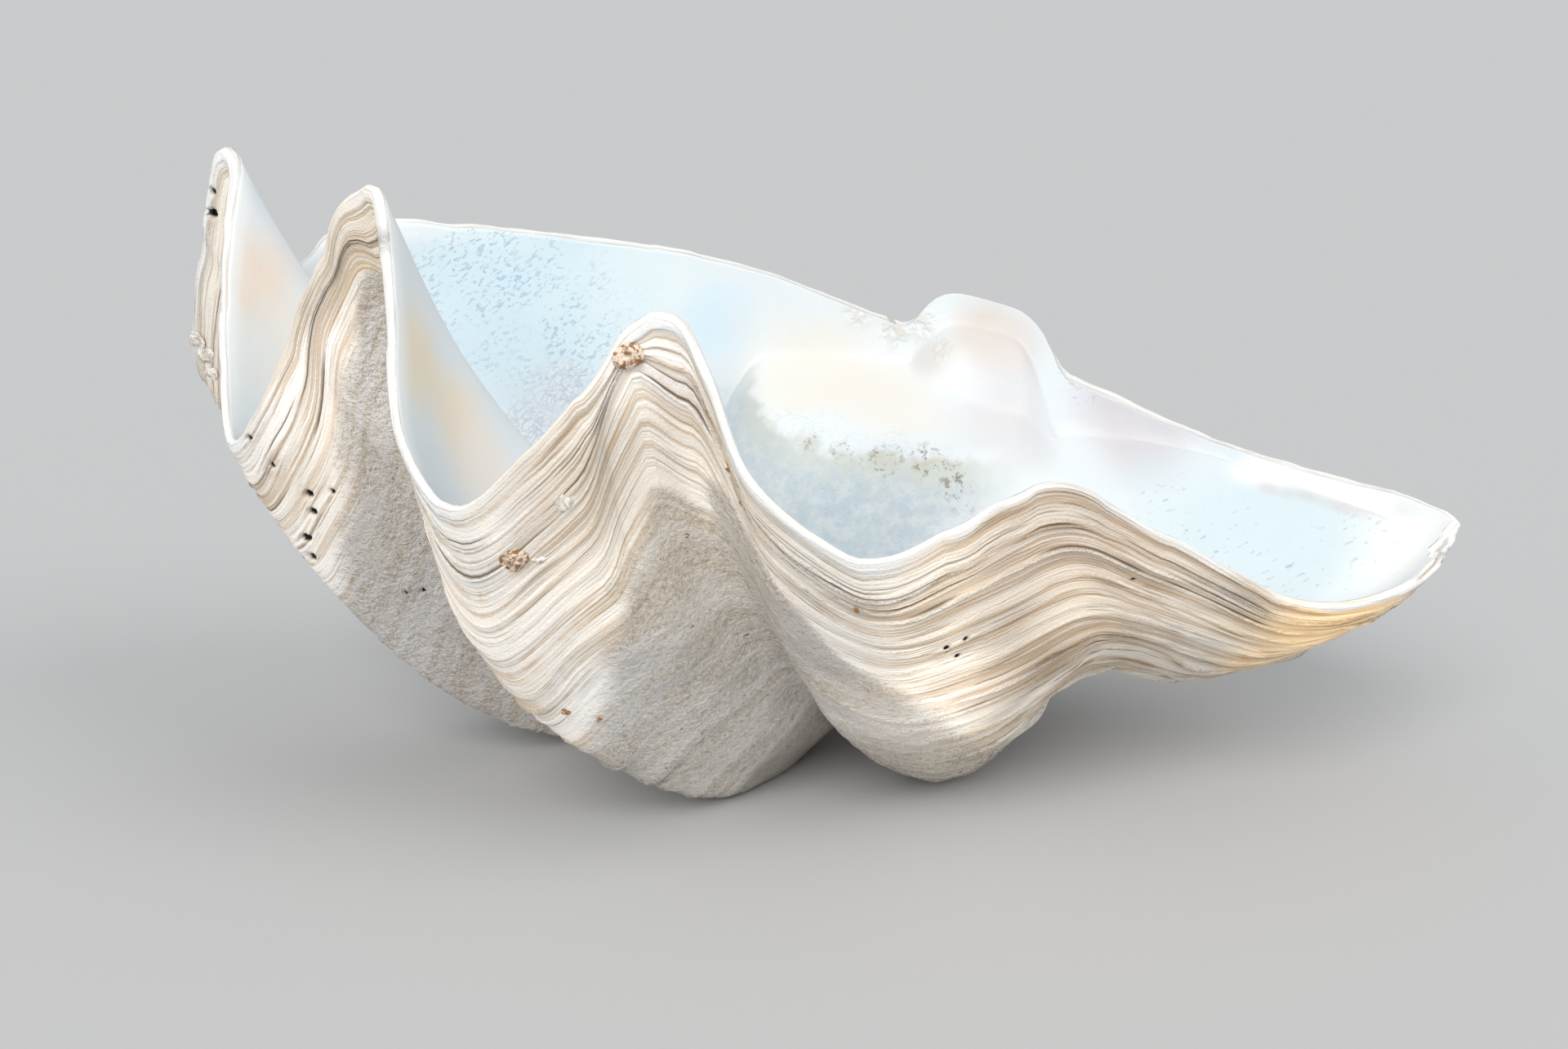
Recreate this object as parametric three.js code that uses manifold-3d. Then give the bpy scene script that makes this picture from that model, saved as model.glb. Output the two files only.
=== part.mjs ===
// Giant clam shell: one loose right valve, lying on its ribbed outside with the hollow up.
// Millimetres, +Z up. +X runs along the length from the high folded end to the long flat wing,
// +Y from the wavy front margin to the hinge. The origin is under the middle, at the resting level.

import * as THREE from 'three';
import { mergeVertices } from 'three/addons/utils/BufferGeometryUtils.js';
import Module from 'manifold-3d';

// The margin, as landmarks in order: from the hinge along the back to the left, round the folds
// along the front, and back to the hinge along the right wing. At each landmark:
//   at        place of the outer edge
//   bulge     depth of the belly below it, as a share of the landmark's distance from the umbo
//   lip       thickness of the edge
//   hinge     1 where the inside starts from the hinge plate, 0 where it starts from the free margin
//   shoulder  how far out the belly starts to turn under, heel how far out it turns up to the umbo
//   sway      how far the growth line swings to the left on its way down, where it does
//   crest     true on the inner crest line, which joins the tops of the folds
const MARGIN = [
  // Left end of the hinge, the back edge and the back corner.
  { at: [46, 176, 259], bulge: 0.30, lip: 26, hinge: 1, shoulder: 0.65, heel: 0.08, crest: true },
  { at: [-62, 166, 299], bulge: 0.36, lip: 20, hinge: 0.9, shoulder: 0.65, heel: 0.08, crest: true },
  { at: [-169, 146, 317], bulge: 0.40, lip: 16, hinge: 0.5, shoulder: 0.65, heel: 0.08, crest: true },
  { at: [-270, 116, 330], bulge: 0.42, lip: 12, hinge: 0.15, shoulder: 0.68, heel: 0.10, crest: true },
  // First rib and first peak.
  { at: [-316, 96, 321], bulge: 0.44, lip: 9, hinge: 0, shoulder: 0.70, heel: 0.12 },
  { at: [-388, 56, 244], bulge: 0.482, lip: 9, hinge: 0, shoulder: 0.72, heel: 0.15 },
  { at: [-362, 21, 366], bulge: 0.46, lip: 13, hinge: 0, shoulder: 0.72, heel: 0.20, crest: true },
  { at: [-348, 11, 368], bulge: 0.46, lip: 13, hinge: 0, shoulder: 0.72, heel: 0.20, crest: true },
  // Second rib and second peak.
  { at: [-350, -17, 310], bulge: 0.46, lip: 12, hinge: 0, shoulder: 0.72, heel: 0.20 },
  { at: [-343, -49, 221], bulge: 0.453, lip: 11, hinge: 0, shoulder: 0.74, heel: 0.20 },
  { at: [-314, -71, 249], bulge: 0.45, lip: 11, hinge: 0, shoulder: 0.74, heel: 0.20 },
  { at: [-286, -87, 303], bulge: 0.45, lip: 11, hinge: 0, shoulder: 0.72, heel: 0.20 },
  { at: [-264, -97, 349], bulge: 0.45, lip: 12, hinge: 0, shoulder: 0.70, heel: 0.21 },
  { at: [-252, -103, 363], bulge: 0.45, lip: 13, hinge: 0, shoulder: 0.70, heel: 0.22, crest: true },
  { at: [-239, -111, 361], bulge: 0.45, lip: 13, hinge: 0, shoulder: 0.70, heel: 0.22, sway: 8, crest: true },
  // Third rib and third peak.
  { at: [-230, -139, 310], bulge: 0.45, lip: 12, hinge: 0, shoulder: 0.70, heel: 0.24, sway: 16 },
  { at: [-219, -179, 249], bulge: 0.45, lip: 11, hinge: 0, shoulder: 0.70, heel: 0.25, sway: 22 },
  { at: [-188, -209, 218], bulge: 0.45, lip: 11, hinge: 0, shoulder: 0.70, heel: 0.25, sway: 22 },
  { at: [-149, -224, 247], bulge: 0.445, lip: 11, hinge: 0, shoulder: 0.70, heel: 0.22, sway: 18 },
  { at: [-113, -229, 287], bulge: 0.455, lip: 10, hinge: 0, shoulder: 0.68, heel: 0.20, sway: 14 },
  { at: [-97, -229, 311], bulge: 0.46, lip: 10, hinge: 0, shoulder: 0.67, heel: 0.19, sway: 15, crest: true },
  { at: [-76, -230, 314], bulge: 0.47, lip: 10, hinge: 0, shoulder: 0.66, heel: 0.18, sway: 14, crest: true },
  // Fourth rib and fourth peak.
  { at: [-62, -231, 287], bulge: 0.475, lip: 10, hinge: 0, shoulder: 0.64, heel: 0.15, sway: 11 },
  { at: [-39, -234, 234], bulge: 0.475, lip: 10, hinge: 0, shoulder: 0.60, heel: 0.10, sway: 6 },
  { at: [15, -229, 197], bulge: 0.482, lip: 9, hinge: 0, shoulder: 0.57, heel: 0.05, sway: 3 },
  { at: [64, -214, 212], bulge: 0.51, lip: 9, hinge: 0, shoulder: 0.60, heel: 0.05, sway: -4 },
  { at: [114, -189, 226], bulge: 0.49, lip: 9, hinge: 0, shoulder: 0.60, heel: 0.08, sway: -14, crest: true },
  // Fifth rib and the tip of the wing.
  { at: [174, -161, 192], bulge: 0.38, lip: 9, hinge: 0, shoulder: 0.64, heel: 0.08 },
  { at: [262, -114, 141], bulge: 0.32, lip: 8, hinge: 0, shoulder: 0.64, heel: 0.08 },
  { at: [338, -54, 133], bulge: 0.28, lip: 8, hinge: 0, shoulder: 0.64, heel: 0.08 },
  { at: [388, 6, 151], bulge: 0.22, lip: 9, hinge: 0, shoulder: 0.64, heel: 0.08, crest: true },
  // Back edge of the wing and the right end of the hinge.
  { at: [372, 36, 164], bulge: 0.22, lip: 12, hinge: 0.15, shoulder: 0.64, heel: 0.08, crest: true },
  { at: [332, 76, 169], bulge: 0.24, lip: 16, hinge: 0.5, shoulder: 0.64, heel: 0.08, crest: true },
  { at: [258, 126, 185], bulge: 0.28, lip: 22, hinge: 0.9, shoulder: 0.64, heel: 0.08, crest: true },
  { at: [160, 166, 225], bulge: 0.30, lip: 26, hinge: 1, shoulder: 0.64, heel: 0.08, crest: true },
].map((landmark) => ({ sway: 0, ...landmark }));

// The umbo, to which all growth runs back, and the way the belly bulges from it.
const UMBO = new THREE.Vector3(86, 223, 232);
const DOWN = new THREE.Vector3(0.1, 0, -1);
const BELLY_FRONT = 1.5;
const BELLY_BACK = 1.15;
const SWAY = { way: new THREE.Vector3(-1, 0, 0), full: 0.11, eases: 0.13, gone: 0.36 };

// The rounded beak that closes the outside from its last ring.
const BEAK = { at: new THREE.Vector3(86, 233, 160), facing: new THREE.Vector3(0.1, 0.97, -0.2), start: 0.5 };
const BEAK_ROUNDING = { lead: 0.25, spread: 0.45 };

// The inside runs back to a point under the hinge plate instead, from the hinge at once and from the
// free margin by degrees. From its last ring a bowl closes it at the floor point.
const UNDER_HINGE = new THREE.Vector3(61, 152, 140);
const DRAWN = { most: 0.6, from: 0.15, to: 0.75 };
const FLOOR = { at: new THREE.Vector3(45, 60, 96), start: 0.3, steepest: 1.2 };

// The wall: its lip rounds over, it thickens away from the margin, and the folds fill in on the inside.
// Its direction is evened out over a few places along the margin.
const LIP_CROWN = 0.3;
const LIP_CROWN_MOST = 4;
const WALL = 20;
const FOLDS_FILLED = 0.45;
const EVENED = { places: 4, spacing: 0.45 };

// Halts in growth, each a ledge on the outside. The layer before a halt flares out by its height.
const HALTS = [0.075, 0.16, 0.27, 0.4];
const HALT_HEIGHT = 2.5;
const HALT_WIDTH = 0.006;
const HALT_FADES = { from: 150, to: 350 };

// The callus in front of the hinge: a sloping cushion, level with the hinge plate at its back.
const CALLUS = { x: 46, y: 131, halfX: 110, halfY: 74, level: 244, levelAtY: 161, slopeX: 0.1, slopeY: 0.56 };
const CALLUS_EDGE = { from: 0.6, to: 1.7, drop: 120, crown: 8, squareness: 2.6, blend: 26 };
const RAISE_STARTS = 0.12;

// The thick slope along the back edge of the wing, ending at the hinge.
const WING_SLOPE = { from: new THREE.Vector3(160, 166, 206), to: new THREE.Vector3(388, 6, 146) };
const WING_FALL = { across: 0.5, past: 0.9, blend: 24 };

// The hinge tooth, a rounded knob on the plate, steeper to the right.
const TOOTH = { x: 118, y: 151, left: 62, right: 48, depth: 36, height: 33, squareness: 5 };

// Three steps between landmarks, and the rows of the skin from the margin inwards.
const STEPS = 3;
const BEFORE_HALTS = [0, 0.035];
const ROUND_HALTS = [0.069, 0.081, 0.12, 0.154, 0.166, 0.215, 0.264, 0.276, 0.335, 0.394, 0.406];
const OUTSIDE_ROWS = [...BEFORE_HALTS, ...ROUND_HALTS, 0.45, BEAK.start];
const INSIDE_ROWS = [0, 0.03, 0.06, 0.1, 0.14, 0.18, 0.22, 0.26, FLOOR.start];
const BEAK_ROWS = [0.22, 0.45, 0.68, 0.87];
const FLOOR_ROWS = [0.1, 0.2, 0.3, 0.4, 0.5, 0.6, 0.72, 0.86];
const TINY = 0.002;

// A block that takes off everything below the resting level, leaving worn flats under the ribs.
const REST_BLOCK = { length: 1000, width: 700, height: 60 };

const { smoothstep, lerp, clamp } = THREE.MathUtils;

// One number on a smooth closed curve, between b and c.
function curve(a, b, c, d, f) {
  const slopeB = (c - a) / 2;
  const slopeC = (d - b) / 2;
  const cubic = 2 * (b - c) + slopeB + slopeC;
  const square = 3 * (c - b) - 2 * slopeB - slopeC;
  return ((cubic * f + square) * f + slopeB) * f + b;
}

// The margin at a place u, counted in landmarks, from either list of landmarks.
function edgeAt(list, u) {
  const count = list.length;
  const first = Math.floor(u);
  const f = u - first;
  const near = [-1, 0, 1, 2].map((k) => list[(first + k + count) % count]);
  const blend = (read) => curve(...near.map(read), f);
  return {
    at: new THREE.Vector3(blend((p) => p.at[0]), blend((p) => p.at[1]), blend((p) => p.at[2])),
    bulge: blend((p) => p.bulge),
    lip: blend((p) => p.lip),
    hinge: blend((p) => p.hinge),
    shoulder: blend((p) => p.shoulder),
    heel: blend((p) => p.heel),
    sway: blend((p) => p.sway),
  };
}

// The same margin with each fold levelled up to the line between its two crests.
function crestLine() {
  const crests = MARGIN.map((p, i) => (p.crest ? i : -1)).filter((i) => i >= 0);
  return MARGIN.map((p, i) => {
    if (p.crest) return p;
    const before = crests.filter((k) => k < i).pop();
    const after = crests.find((k) => k > i);
    const f = (i - before) / (after - before);
    return mixEdges(MARGIN[before], MARGIN[after], f);
  });
}

const SHAPE_KEYS = ['bulge', 'hinge', 'shoulder', 'heel', 'sway'];

function mixEdges(a, b, f) {
  const mixed = { at: a.at.map((v, k) => lerp(v, b.at[k], f)) };
  for (const key of ['lip', ...SHAPE_KEYS]) mixed[key] = lerp(a[key], b[key], f);
  return mixed;
}

const CRESTS = crestLine();

// A point on the growth line from a place on the margin (t = 0) back to a pole (t = 1).
function growthPoint(edge, t, pole) {
  const back = 1 - t;
  const reach = back ** 3 + 3 * back ** 2 * t * edge.shoulder + 3 * back * t ** 2 * edge.heel;
  const depth = 3 * back ** 2 * t * BELLY_FRONT + 3 * back * t ** 2 * BELLY_BACK;
  const arm = edge.at.clone().sub(pole);
  const sink = arm.length() * edge.bulge * depth;
  const sway = edge.sway * smoothstep(t, 0, SWAY.full) * (1 - smoothstep(t, SWAY.eases, SWAY.gone));
  return pole.clone().addScaledVector(arm, reach).addScaledVector(DOWN, sink).addScaledVector(SWAY.way, sway);
}

// The inward normal of a surface point(u, t), by small differences.
function inwardNormal(point, u, t) {
  const along = point(u + TINY, t).sub(point(u - TINY, t));
  const back = point(u, t + TINY).sub(point(u, Math.max(0, t - TINY)));
  return along.cross(back).normalize();
}

function outsideBase(u, t) {
  return growthPoint(edgeAt(MARGIN, u), t, UMBO);
}

// How far the layer at t flares out before the next halt towards the margin, less near the hinge.
function flare(u, t) {
  const size = edgeAt(MARGIN, u).at.distanceTo(UMBO);
  const strength = HALT_HEIGHT * smoothstep(size, HALT_FADES.from, HALT_FADES.to);
  const next = HALTS.filter((halt) => halt <= t + HALT_WIDTH).pop() ?? 0;
  const last = HALTS.find((halt) => halt > t + HALT_WIDTH) ?? BEAK.start;
  if (next === 0) return 0;
  const rise = clamp((last - t) / (last - next), 0, 1);
  return strength * rise * smoothstep(t, next - HALT_WIDTH, next + HALT_WIDTH);
}

function outsidePoint(u, t) {
  return outsideBase(u, t).addScaledVector(inwardNormal(outsideBase, u, t), -flare(u, t));
}

function insideBase(u, t) {
  const filled = smoothstep(t, 0, FOLDS_FILLED);
  const margin = edgeAt(MARGIN, u);
  const crest = edgeAt(CRESTS, u);
  const edge = { at: margin.at.lerp(crest.at, filled) };
  for (const key of SHAPE_KEYS) edge[key] = lerp(margin[key], crest[key], filled);
  const drawn = Math.max(edge.hinge, DRAWN.most * smoothstep(t, DRAWN.from, DRAWN.to));
  return growthPoint(edge, t, UMBO.clone().lerp(UNDER_HINGE, clamp(drawn, 0, 1)));
}

// The inward normal of the inside, evened out along the margin so that narrow folds stay open.
function insideNormal(u, t) {
  const sum = new THREE.Vector3();
  for (let k = -EVENED.places; k <= EVENED.places; k += 1) {
    const weight = EVENED.places + 1 - Math.abs(k);
    sum.addScaledVector(inwardNormal(insideBase, u + k * EVENED.spacing, t), weight);
  }
  return sum.normalize();
}

function insidePoint(u, t) {
  const lip = edgeAt(MARGIN, u).lip;
  const thickness = lerp(lip, Math.max(WALL, lip), smoothstep(t, 0, FLOOR.start));
  return insideBase(u, t).addScaledVector(insideNormal(u, t), thickness);
}

// The thick parts start at once from the hinge plate, and a little way in from the free margin.
function raiseShare(u, t) {
  return clamp(Math.max(edgeAt(MARGIN, u).hinge, smoothstep(t, 0, RAISE_STARTS)), 0, 1);
}

// The callus surface over a place, falling away past its edge.
function callusHeight(x, y) {
  const dx = Math.abs(x - CALLUS.x) / CALLUS.halfX;
  const dy = Math.abs(y - CALLUS.y) / CALLUS.halfY;
  const power = CALLUS_EDGE.squareness;
  const r = (dx ** power + dy ** power) ** (1 / power);
  const plane = CALLUS.level - (CALLUS.levelAtY - y) * CALLUS.slopeY - (x - CALLUS.x) * CALLUS.slopeX;
  const drop = CALLUS_EDGE.drop * smoothstep(r, CALLUS_EDGE.from, CALLUS_EDGE.to);
  return plane - drop - CALLUS_EDGE.crown * r ** 2;
}

// The slope along the wing over a place, falling away across it and past the hinge.
function wingHeight(x, y) {
  const { from, to } = WING_SLOPE;
  const length = Math.hypot(to.x - from.x, to.y - from.y);
  const wayX = (to.x - from.x) / length;
  const wayY = (to.y - from.y) / length;
  const along = (x - from.x) * wayX + (y - from.y) * wayY;
  const across = Math.abs((x - from.x) * wayY - (y - from.y) * wayX);
  const level = lerp(from.z, to.z, clamp(along / length, 0, 1));
  return level - WING_FALL.across * across - WING_FALL.past * Math.max(0, -along);
}

function higherOf(a, b, blend) {
  const share = clamp(0.5 + (0.5 * (a - b)) / blend, 0, 1);
  return lerp(b, a, share) + blend * share * (1 - share);
}

function toothHeight(x, y) {
  const dx = (x - TOOTH.x) / (x > TOOTH.x ? TOOTH.right : TOOTH.left);
  const dy = (y - TOOTH.y) / TOOTH.depth;
  const r = Math.min(1, Math.hypot(dx, dy));
  return TOOTH.height * (1 - r ** TOOTH.squareness) ** 2;
}

// Raise an inside point onto the callus and the wing slope, by a share, and onto the tooth.
function raise(p, share) {
  const onCallus = higherOf(p.z, callusHeight(p.x, p.y), CALLUS_EDGE.blend);
  const onWing = higherOf(onCallus, wingHeight(p.x, p.y), WING_FALL.blend);
  p.z = lerp(p.z, onWing, share) + toothHeight(p.x, p.y);
  return p;
}

// Rows that close the outside smoothly from its last ring to the beak.
function beakRows(places) {
  const facing = BEAK.facing.clone().normalize();
  const lines = places.map((u) => {
    const from = outsideBase(u, BEAK.start);
    const way = from.clone().sub(outsideBase(u, BEAK.start - TINY)).normalize();
    const lead = from.clone().addScaledVector(way, from.distanceTo(BEAK.at) * BEAK_ROUNDING.lead);
    const flat = from.clone().sub(BEAK.at).projectOnPlane(facing);
    const spread = BEAK.at.clone().addScaledVector(flat, BEAK_ROUNDING.spread);
    return new THREE.CubicBezierCurve3(from, lead, spread, BEAK.at);
  });
  return BEAK_ROWS.map((f) => lines.map((line) => line.getPoint(f)));
}

// Rows that close the inside, straight to the floor point in plan, starting with the slope of the wall.
function floorRows(places) {
  const starts = places.map((u) => {
    const from = insidePoint(u, FLOOR.start);
    const way = from.clone().sub(insidePoint(u, FLOOR.start - TINY));
    const slope = clamp(way.z / Math.hypot(way.x, way.y), -FLOOR.steepest, FLOOR.steepest);
    return { from, dip: slope * Math.hypot(FLOOR.at.x - from.x, FLOOR.at.y - from.y) };
  });
  return FLOOR_ROWS.map((f) => starts.map(({ from, dip }) => {
    const p = from.clone().lerp(FLOOR.at, f);
    p.z = lerp(from.z, FLOOR.at.z, smoothstep(f, 0, 1)) + dip * f * (1 - f) ** 3;
    return raise(p, 1);
  }));
}

// The closed skin through rings of points, from a pole at its start to a pole at its end.
function skin(startPole, rings, endPole) {
  const count = rings[0].length;
  const points = [startPole, ...rings.flat(), endPole];
  const ring = (row, i) => 1 + row * count + (i % count);
  const triangles = [];
  for (let i = 0; i < count; i += 1) {
    triangles.push(0, ring(0, i + 1), ring(0, i));
    triangles.push(points.length - 1, ring(rings.length - 1, i), ring(rings.length - 1, i + 1));
    for (let row = 0; row < rings.length - 1; row += 1) {
      triangles.push(ring(row, i), ring(row, i + 1), ring(row + 1, i + 1));
      triangles.push(ring(row, i), ring(row + 1, i + 1), ring(row + 1, i));
    }
  }
  const geometry = new THREE.BufferGeometry().setFromPoints(points);
  geometry.setIndex(triangles);
  return geometry;
}

// The top of the rounded lip, between the outer and the inner edge.
function lipRing(outer, inner, places) {
  return places.map((u, i) => {
    const outward = outer[i].clone().sub(outsideBase(u, TINY)).normalize();
    const crown = Math.min(LIP_CROWN_MOST, LIP_CROWN * outer[i].distanceTo(inner[i]));
    return outer[i].clone().lerp(inner[i], 0.5).addScaledVector(outward, crown);
  });
}

function shellSkin() {
  const places = [];
  for (let i = 0; i < MARGIN.length * STEPS; i += 1) places.push(i / STEPS);
  const outside = OUTSIDE_ROWS.map((t) => places.map((u) => outsidePoint(u, t)));
  const inside = INSIDE_ROWS.map((t) => places.map((u) => raise(insidePoint(u, t), raiseShare(u, t))));
  const lip = lipRing(outside[0], inside[0], places);
  const outsideIn = [...outside, ...beakRows(places)].reverse();
  const rings = [...outsideIn, lip, ...inside, ...floorRows(places)];
  return skin(BEAK.at, rings, raise(FLOOR.at.clone(), 1));
}

const wasm = await Module();
wasm.setup();

function solid(geometry) {
  const vertProperties = Float32Array.from(geometry.getAttribute('position').array);
  const triVerts = Uint32Array.from(geometry.getIndex().array);
  return new wasm.Manifold(new wasm.Mesh({ numProp: 3, vertProperties, triVerts }));
}

// A box with merged corners, lying just below the resting level.
function restBlock() {
  const block = new THREE.BoxGeometry(REST_BLOCK.length, REST_BLOCK.width, REST_BLOCK.height);
  block.translate(0, 0, -REST_BLOCK.height / 2);
  block.deleteAttribute('normal');
  block.deleteAttribute('uv');
  return mergeVertices(block);
}

// Move a geometry sideways, so that the middle of its box is over the origin.
function overOrigin(geometry) {
  geometry.computeBoundingBox();
  const middle = geometry.boundingBox.getCenter(new THREE.Vector3());
  return geometry.translate(-middle.x, -middle.y, 0);
}

function shellGeometry() {
  const worn = solid(shellSkin()).subtract(solid(restBlock())).getMesh();
  const geometry = new THREE.BufferGeometry();
  geometry.setAttribute('position', new THREE.BufferAttribute(Float32Array.from(worn.vertProperties), 3));
  geometry.setIndex(new THREE.BufferAttribute(Uint32Array.from(worn.triVerts), 1));
  geometry.computeVertexNormals();
  return overOrigin(geometry);
}

const chalkyShell = new THREE.MeshStandardMaterial({ color: 0xded5c6, roughness: 0.62, metalness: 0 });
const shell = new THREE.Mesh(shellGeometry(), chalkyShell);
shell.name = 'shell';

const clamShell = new THREE.Group();
clamShell.add(shell);

export default clamShell;
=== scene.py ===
"""Giant clam shell: one loose valve lying on its ribs with the hollow up.

The grown surface is worked out in millimetres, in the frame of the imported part, and scaled to metres
when its mesh is made. Outside it has its growth layers, worn sandy ribs, bore holes and scars, and
inside the porcelain hollow with the callus and the hinge tooth.
"""

import itertools
import math

import bmesh
import bpy
import numpy as np
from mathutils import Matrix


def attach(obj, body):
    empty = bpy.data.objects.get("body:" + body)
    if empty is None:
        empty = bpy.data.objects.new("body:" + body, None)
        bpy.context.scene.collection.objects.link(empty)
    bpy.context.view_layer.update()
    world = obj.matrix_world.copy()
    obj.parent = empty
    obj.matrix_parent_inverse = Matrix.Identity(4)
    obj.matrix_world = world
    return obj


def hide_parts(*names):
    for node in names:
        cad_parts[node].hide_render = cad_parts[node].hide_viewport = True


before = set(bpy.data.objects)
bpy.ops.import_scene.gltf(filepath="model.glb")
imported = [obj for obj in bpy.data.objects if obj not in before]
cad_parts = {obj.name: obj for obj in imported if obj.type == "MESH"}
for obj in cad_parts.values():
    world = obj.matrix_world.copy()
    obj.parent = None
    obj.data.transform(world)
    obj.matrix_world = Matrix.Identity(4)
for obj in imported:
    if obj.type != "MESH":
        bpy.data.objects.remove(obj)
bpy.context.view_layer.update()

MM = 0.001

# The margin, as landmarks in order from the left end of the hinge along the back to the left, round
# the folds along the front, and back along the right wing. The columns are the place of the outer edge
# (x, y, z), the bulge of the belly below it, the thickness of the lip, the share of the hinge plate, the
# shoulder, heel and sway to the left of the growth line, 1 on the crest line, and how far back the growth
# stripes show.
AT, BULGE, LIP, HINGE, SHOULDER, HEEL, SWAY, CREST, STRIPES = slice(0, 3), 3, 4, 5, 6, 7, 8, 9, 10
MARGIN = np.array([
    # Left end of the hinge, the back edge and the back corner.
    (46, 176, 259, 0.30, 26, 1, 0.65, 0.08, 0, 1, 0.10),
    (-62, 166, 299, 0.36, 18, 0.9, 0.65, 0.08, 0, 1, 0.12),
    (-169, 146, 317, 0.40, 13, 0.5, 0.65, 0.08, 0, 1, 0.12),
    (-270, 116, 330, 0.42, 9, 0.15, 0.68, 0.10, 0, 1, 0.12),
    # First rib and first peak.
    (-316, 96, 321, 0.44, 6, 0, 0.70, 0.12, 0, 0, 0.12),
    (-388, 56, 244, 0.482, 6, 0, 0.72, 0.15, 0, 0, 0.12),
    (-362, 21, 366, 0.46, 9, 0, 0.72, 0.20, 0, 1, 0.04),
    (-348, 11, 368, 0.46, 8, 0, 0.72, 0.20, 0, 1, 0.02),
    # Second rib and second peak.
    (-350, -17, 310, 0.46, 6, 0, 0.72, 0.20, 0, 0, 0.08),
    (-343, -49, 221, 0.453, 5, 0, 0.74, 0.20, 0, 0, 0.10),
    (-314, -71, 249, 0.45, 5, 0, 0.74, 0.20, 0, 0, 0.08),
    (-286, -87, 303, 0.45, 5.5, 0, 0.72, 0.20, 0, 0, 0.045),
    (-264, -97, 349, 0.45, 6.5, 0, 0.70, 0.21, 0, 0, 0.03),
    (-252, -103, 363, 0.45, 7, 0, 0.70, 0.22, 0, 1, 0.03),
    (-239, -111, 361, 0.45, 7, 0, 0.70, 0.22, 8, 1, 0.016),
    # Third rib and third peak.
    (-230, -139, 310, 0.45, 6, 0, 0.70, 0.24, 16, 0, 0.02),
    (-219, -179, 249, 0.45, 5, 0, 0.70, 0.25, 22, 0, 0.12),
    (-188, -209, 218, 0.45, 4.5, 0, 0.70, 0.25, 22, 0, 0.19),
    (-149, -224, 247, 0.445, 4, 0, 0.70, 0.22, 18, 0, 0.14),
    (-113, -229, 287, 0.455, 4.5, 0, 0.68, 0.20, 14, 0, 0.09),
    (-97, -229, 311, 0.46, 5, 0, 0.67, 0.19, 15, 1, 0.09),
    (-76, -230, 314, 0.47, 5.5, 0, 0.66, 0.18, 14, 1, 0.085),
    # Fourth rib and fourth peak.
    (-62, -231, 287, 0.475, 5.5, 0, 0.64, 0.15, 11, 0, 0.04),
    (-39, -234, 234, 0.475, 5, 0, 0.60, 0.10, 6, 0, 0.04),
    (15, -229, 197, 0.482, 4, 0, 0.57, 0.05, 3, 0, 0.09),
    (64, -214, 212, 0.51, 3.8, 0, 0.60, 0.05, -4, 0, 0.20),
    (114, -189, 226, 0.49, 3.8, 0, 0.60, 0.08, -14, 1, 0.30),
    # Fifth rib and the tip of the wing.
    (174, -161, 192, 0.38, 4, 0, 0.64, 0.08, 0, 0, 0.30),
    (262, -114, 141, 0.32, 5, 0, 0.64, 0.08, 0, 0, 0.28),
    (338, -54, 133, 0.28, 6, 0, 0.64, 0.08, 0, 0, 0.26),
    (388, 6, 151, 0.22, 8, 0, 0.64, 0.08, 0, 1, 0.22),
    # Back edge of the wing and the right end of the hinge.
    (372, 36, 164, 0.22, 10, 0.15, 0.64, 0.08, 0, 1, 0.15),
    (332, 76, 169, 0.24, 14, 0.5, 0.64, 0.08, 0, 1, 0.12),
    (258, 126, 185, 0.28, 20, 0.9, 0.64, 0.08, 0, 1, 0.10),
    (160, 166, 225, 0.30, 26, 1, 0.64, 0.08, 0, 1, 0.10),
], float)

# Growth runs back to the umbo, and the belly bulges downwards from the straight way there.
UMBO = np.array((86.0, 223.0, 232.0))
DOWN = np.array((0.1, 0.0, -1.0))
BELLY_FRONT = 1.5
BELLY_BACK = 1.15
SWAY_WAY = np.array((-1.0, 0.0, 0.0))
SWAY_FULL, SWAY_EASES, SWAY_GONE = 0.11, 0.13, 0.36
TINY = 0.002

# The rounded beak that closes the outside.
BEAK = np.array((86.0, 233.0, 160.0))
BEAK_FACING = np.array((0.1, 0.97, -0.2)) / math.hypot(0.1, 0.97, 0.2)
BEAK_START = 0.5
BEAK_LEAD = 0.25
BEAK_SPREAD = 0.45

# The inside runs back to a point under the hinge, and a bowl closes it at the floor point.
UNDER_HINGE = np.array((61.0, 152.0, 140.0))
DRAWN_MOST, DRAWN_FROM, DRAWN_TO = 0.6, 0.15, 0.75
FLOOR = np.array((45.0, 60.0, 96.0))
FLOOR_START = 0.3
STEEPEST = 1.2
WALL = 20
FOLDS_FILLED = 0.45
EVENED_PLACES = 4
EVENED_SPACING = 0.45

# The callus in front of the hinge, the thick slope along the wing, and the hinge tooth.
CALLUS_AT = (46, 131)
CALLUS_HALF = (110, 74)
CALLUS_LEVEL = 244
CALLUS_LEVEL_Y = 161
CALLUS_SLOPE = (0.1, 0.56)
CALLUS_FALLS, CALLUS_GONE, CALLUS_DROP = 0.75, 1.5, 120
CALLUS_CROWN = 8
CALLUS_SQUARENESS = 2.6
CALLUS_BLEND = 28
CALLUS_EDGE = 0.82
RAISE_STARTS = 0.12
WING_FROM = np.array((160.0, 166.0, 206.0))
WING_TO = np.array((388.0, 6.0, 146.0))
WING_ACROSS, WING_PAST, WING_BLEND = 0.5, 0.9, 24
TOOTH_AT = (118, 151)
TOOTH_LEFT, TOOTH_RIGHT, TOOTH_DEPTH, TOOTH_HEIGHT = 62, 48, 36, 33
TOOTH_SQUARENESS = 5

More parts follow.
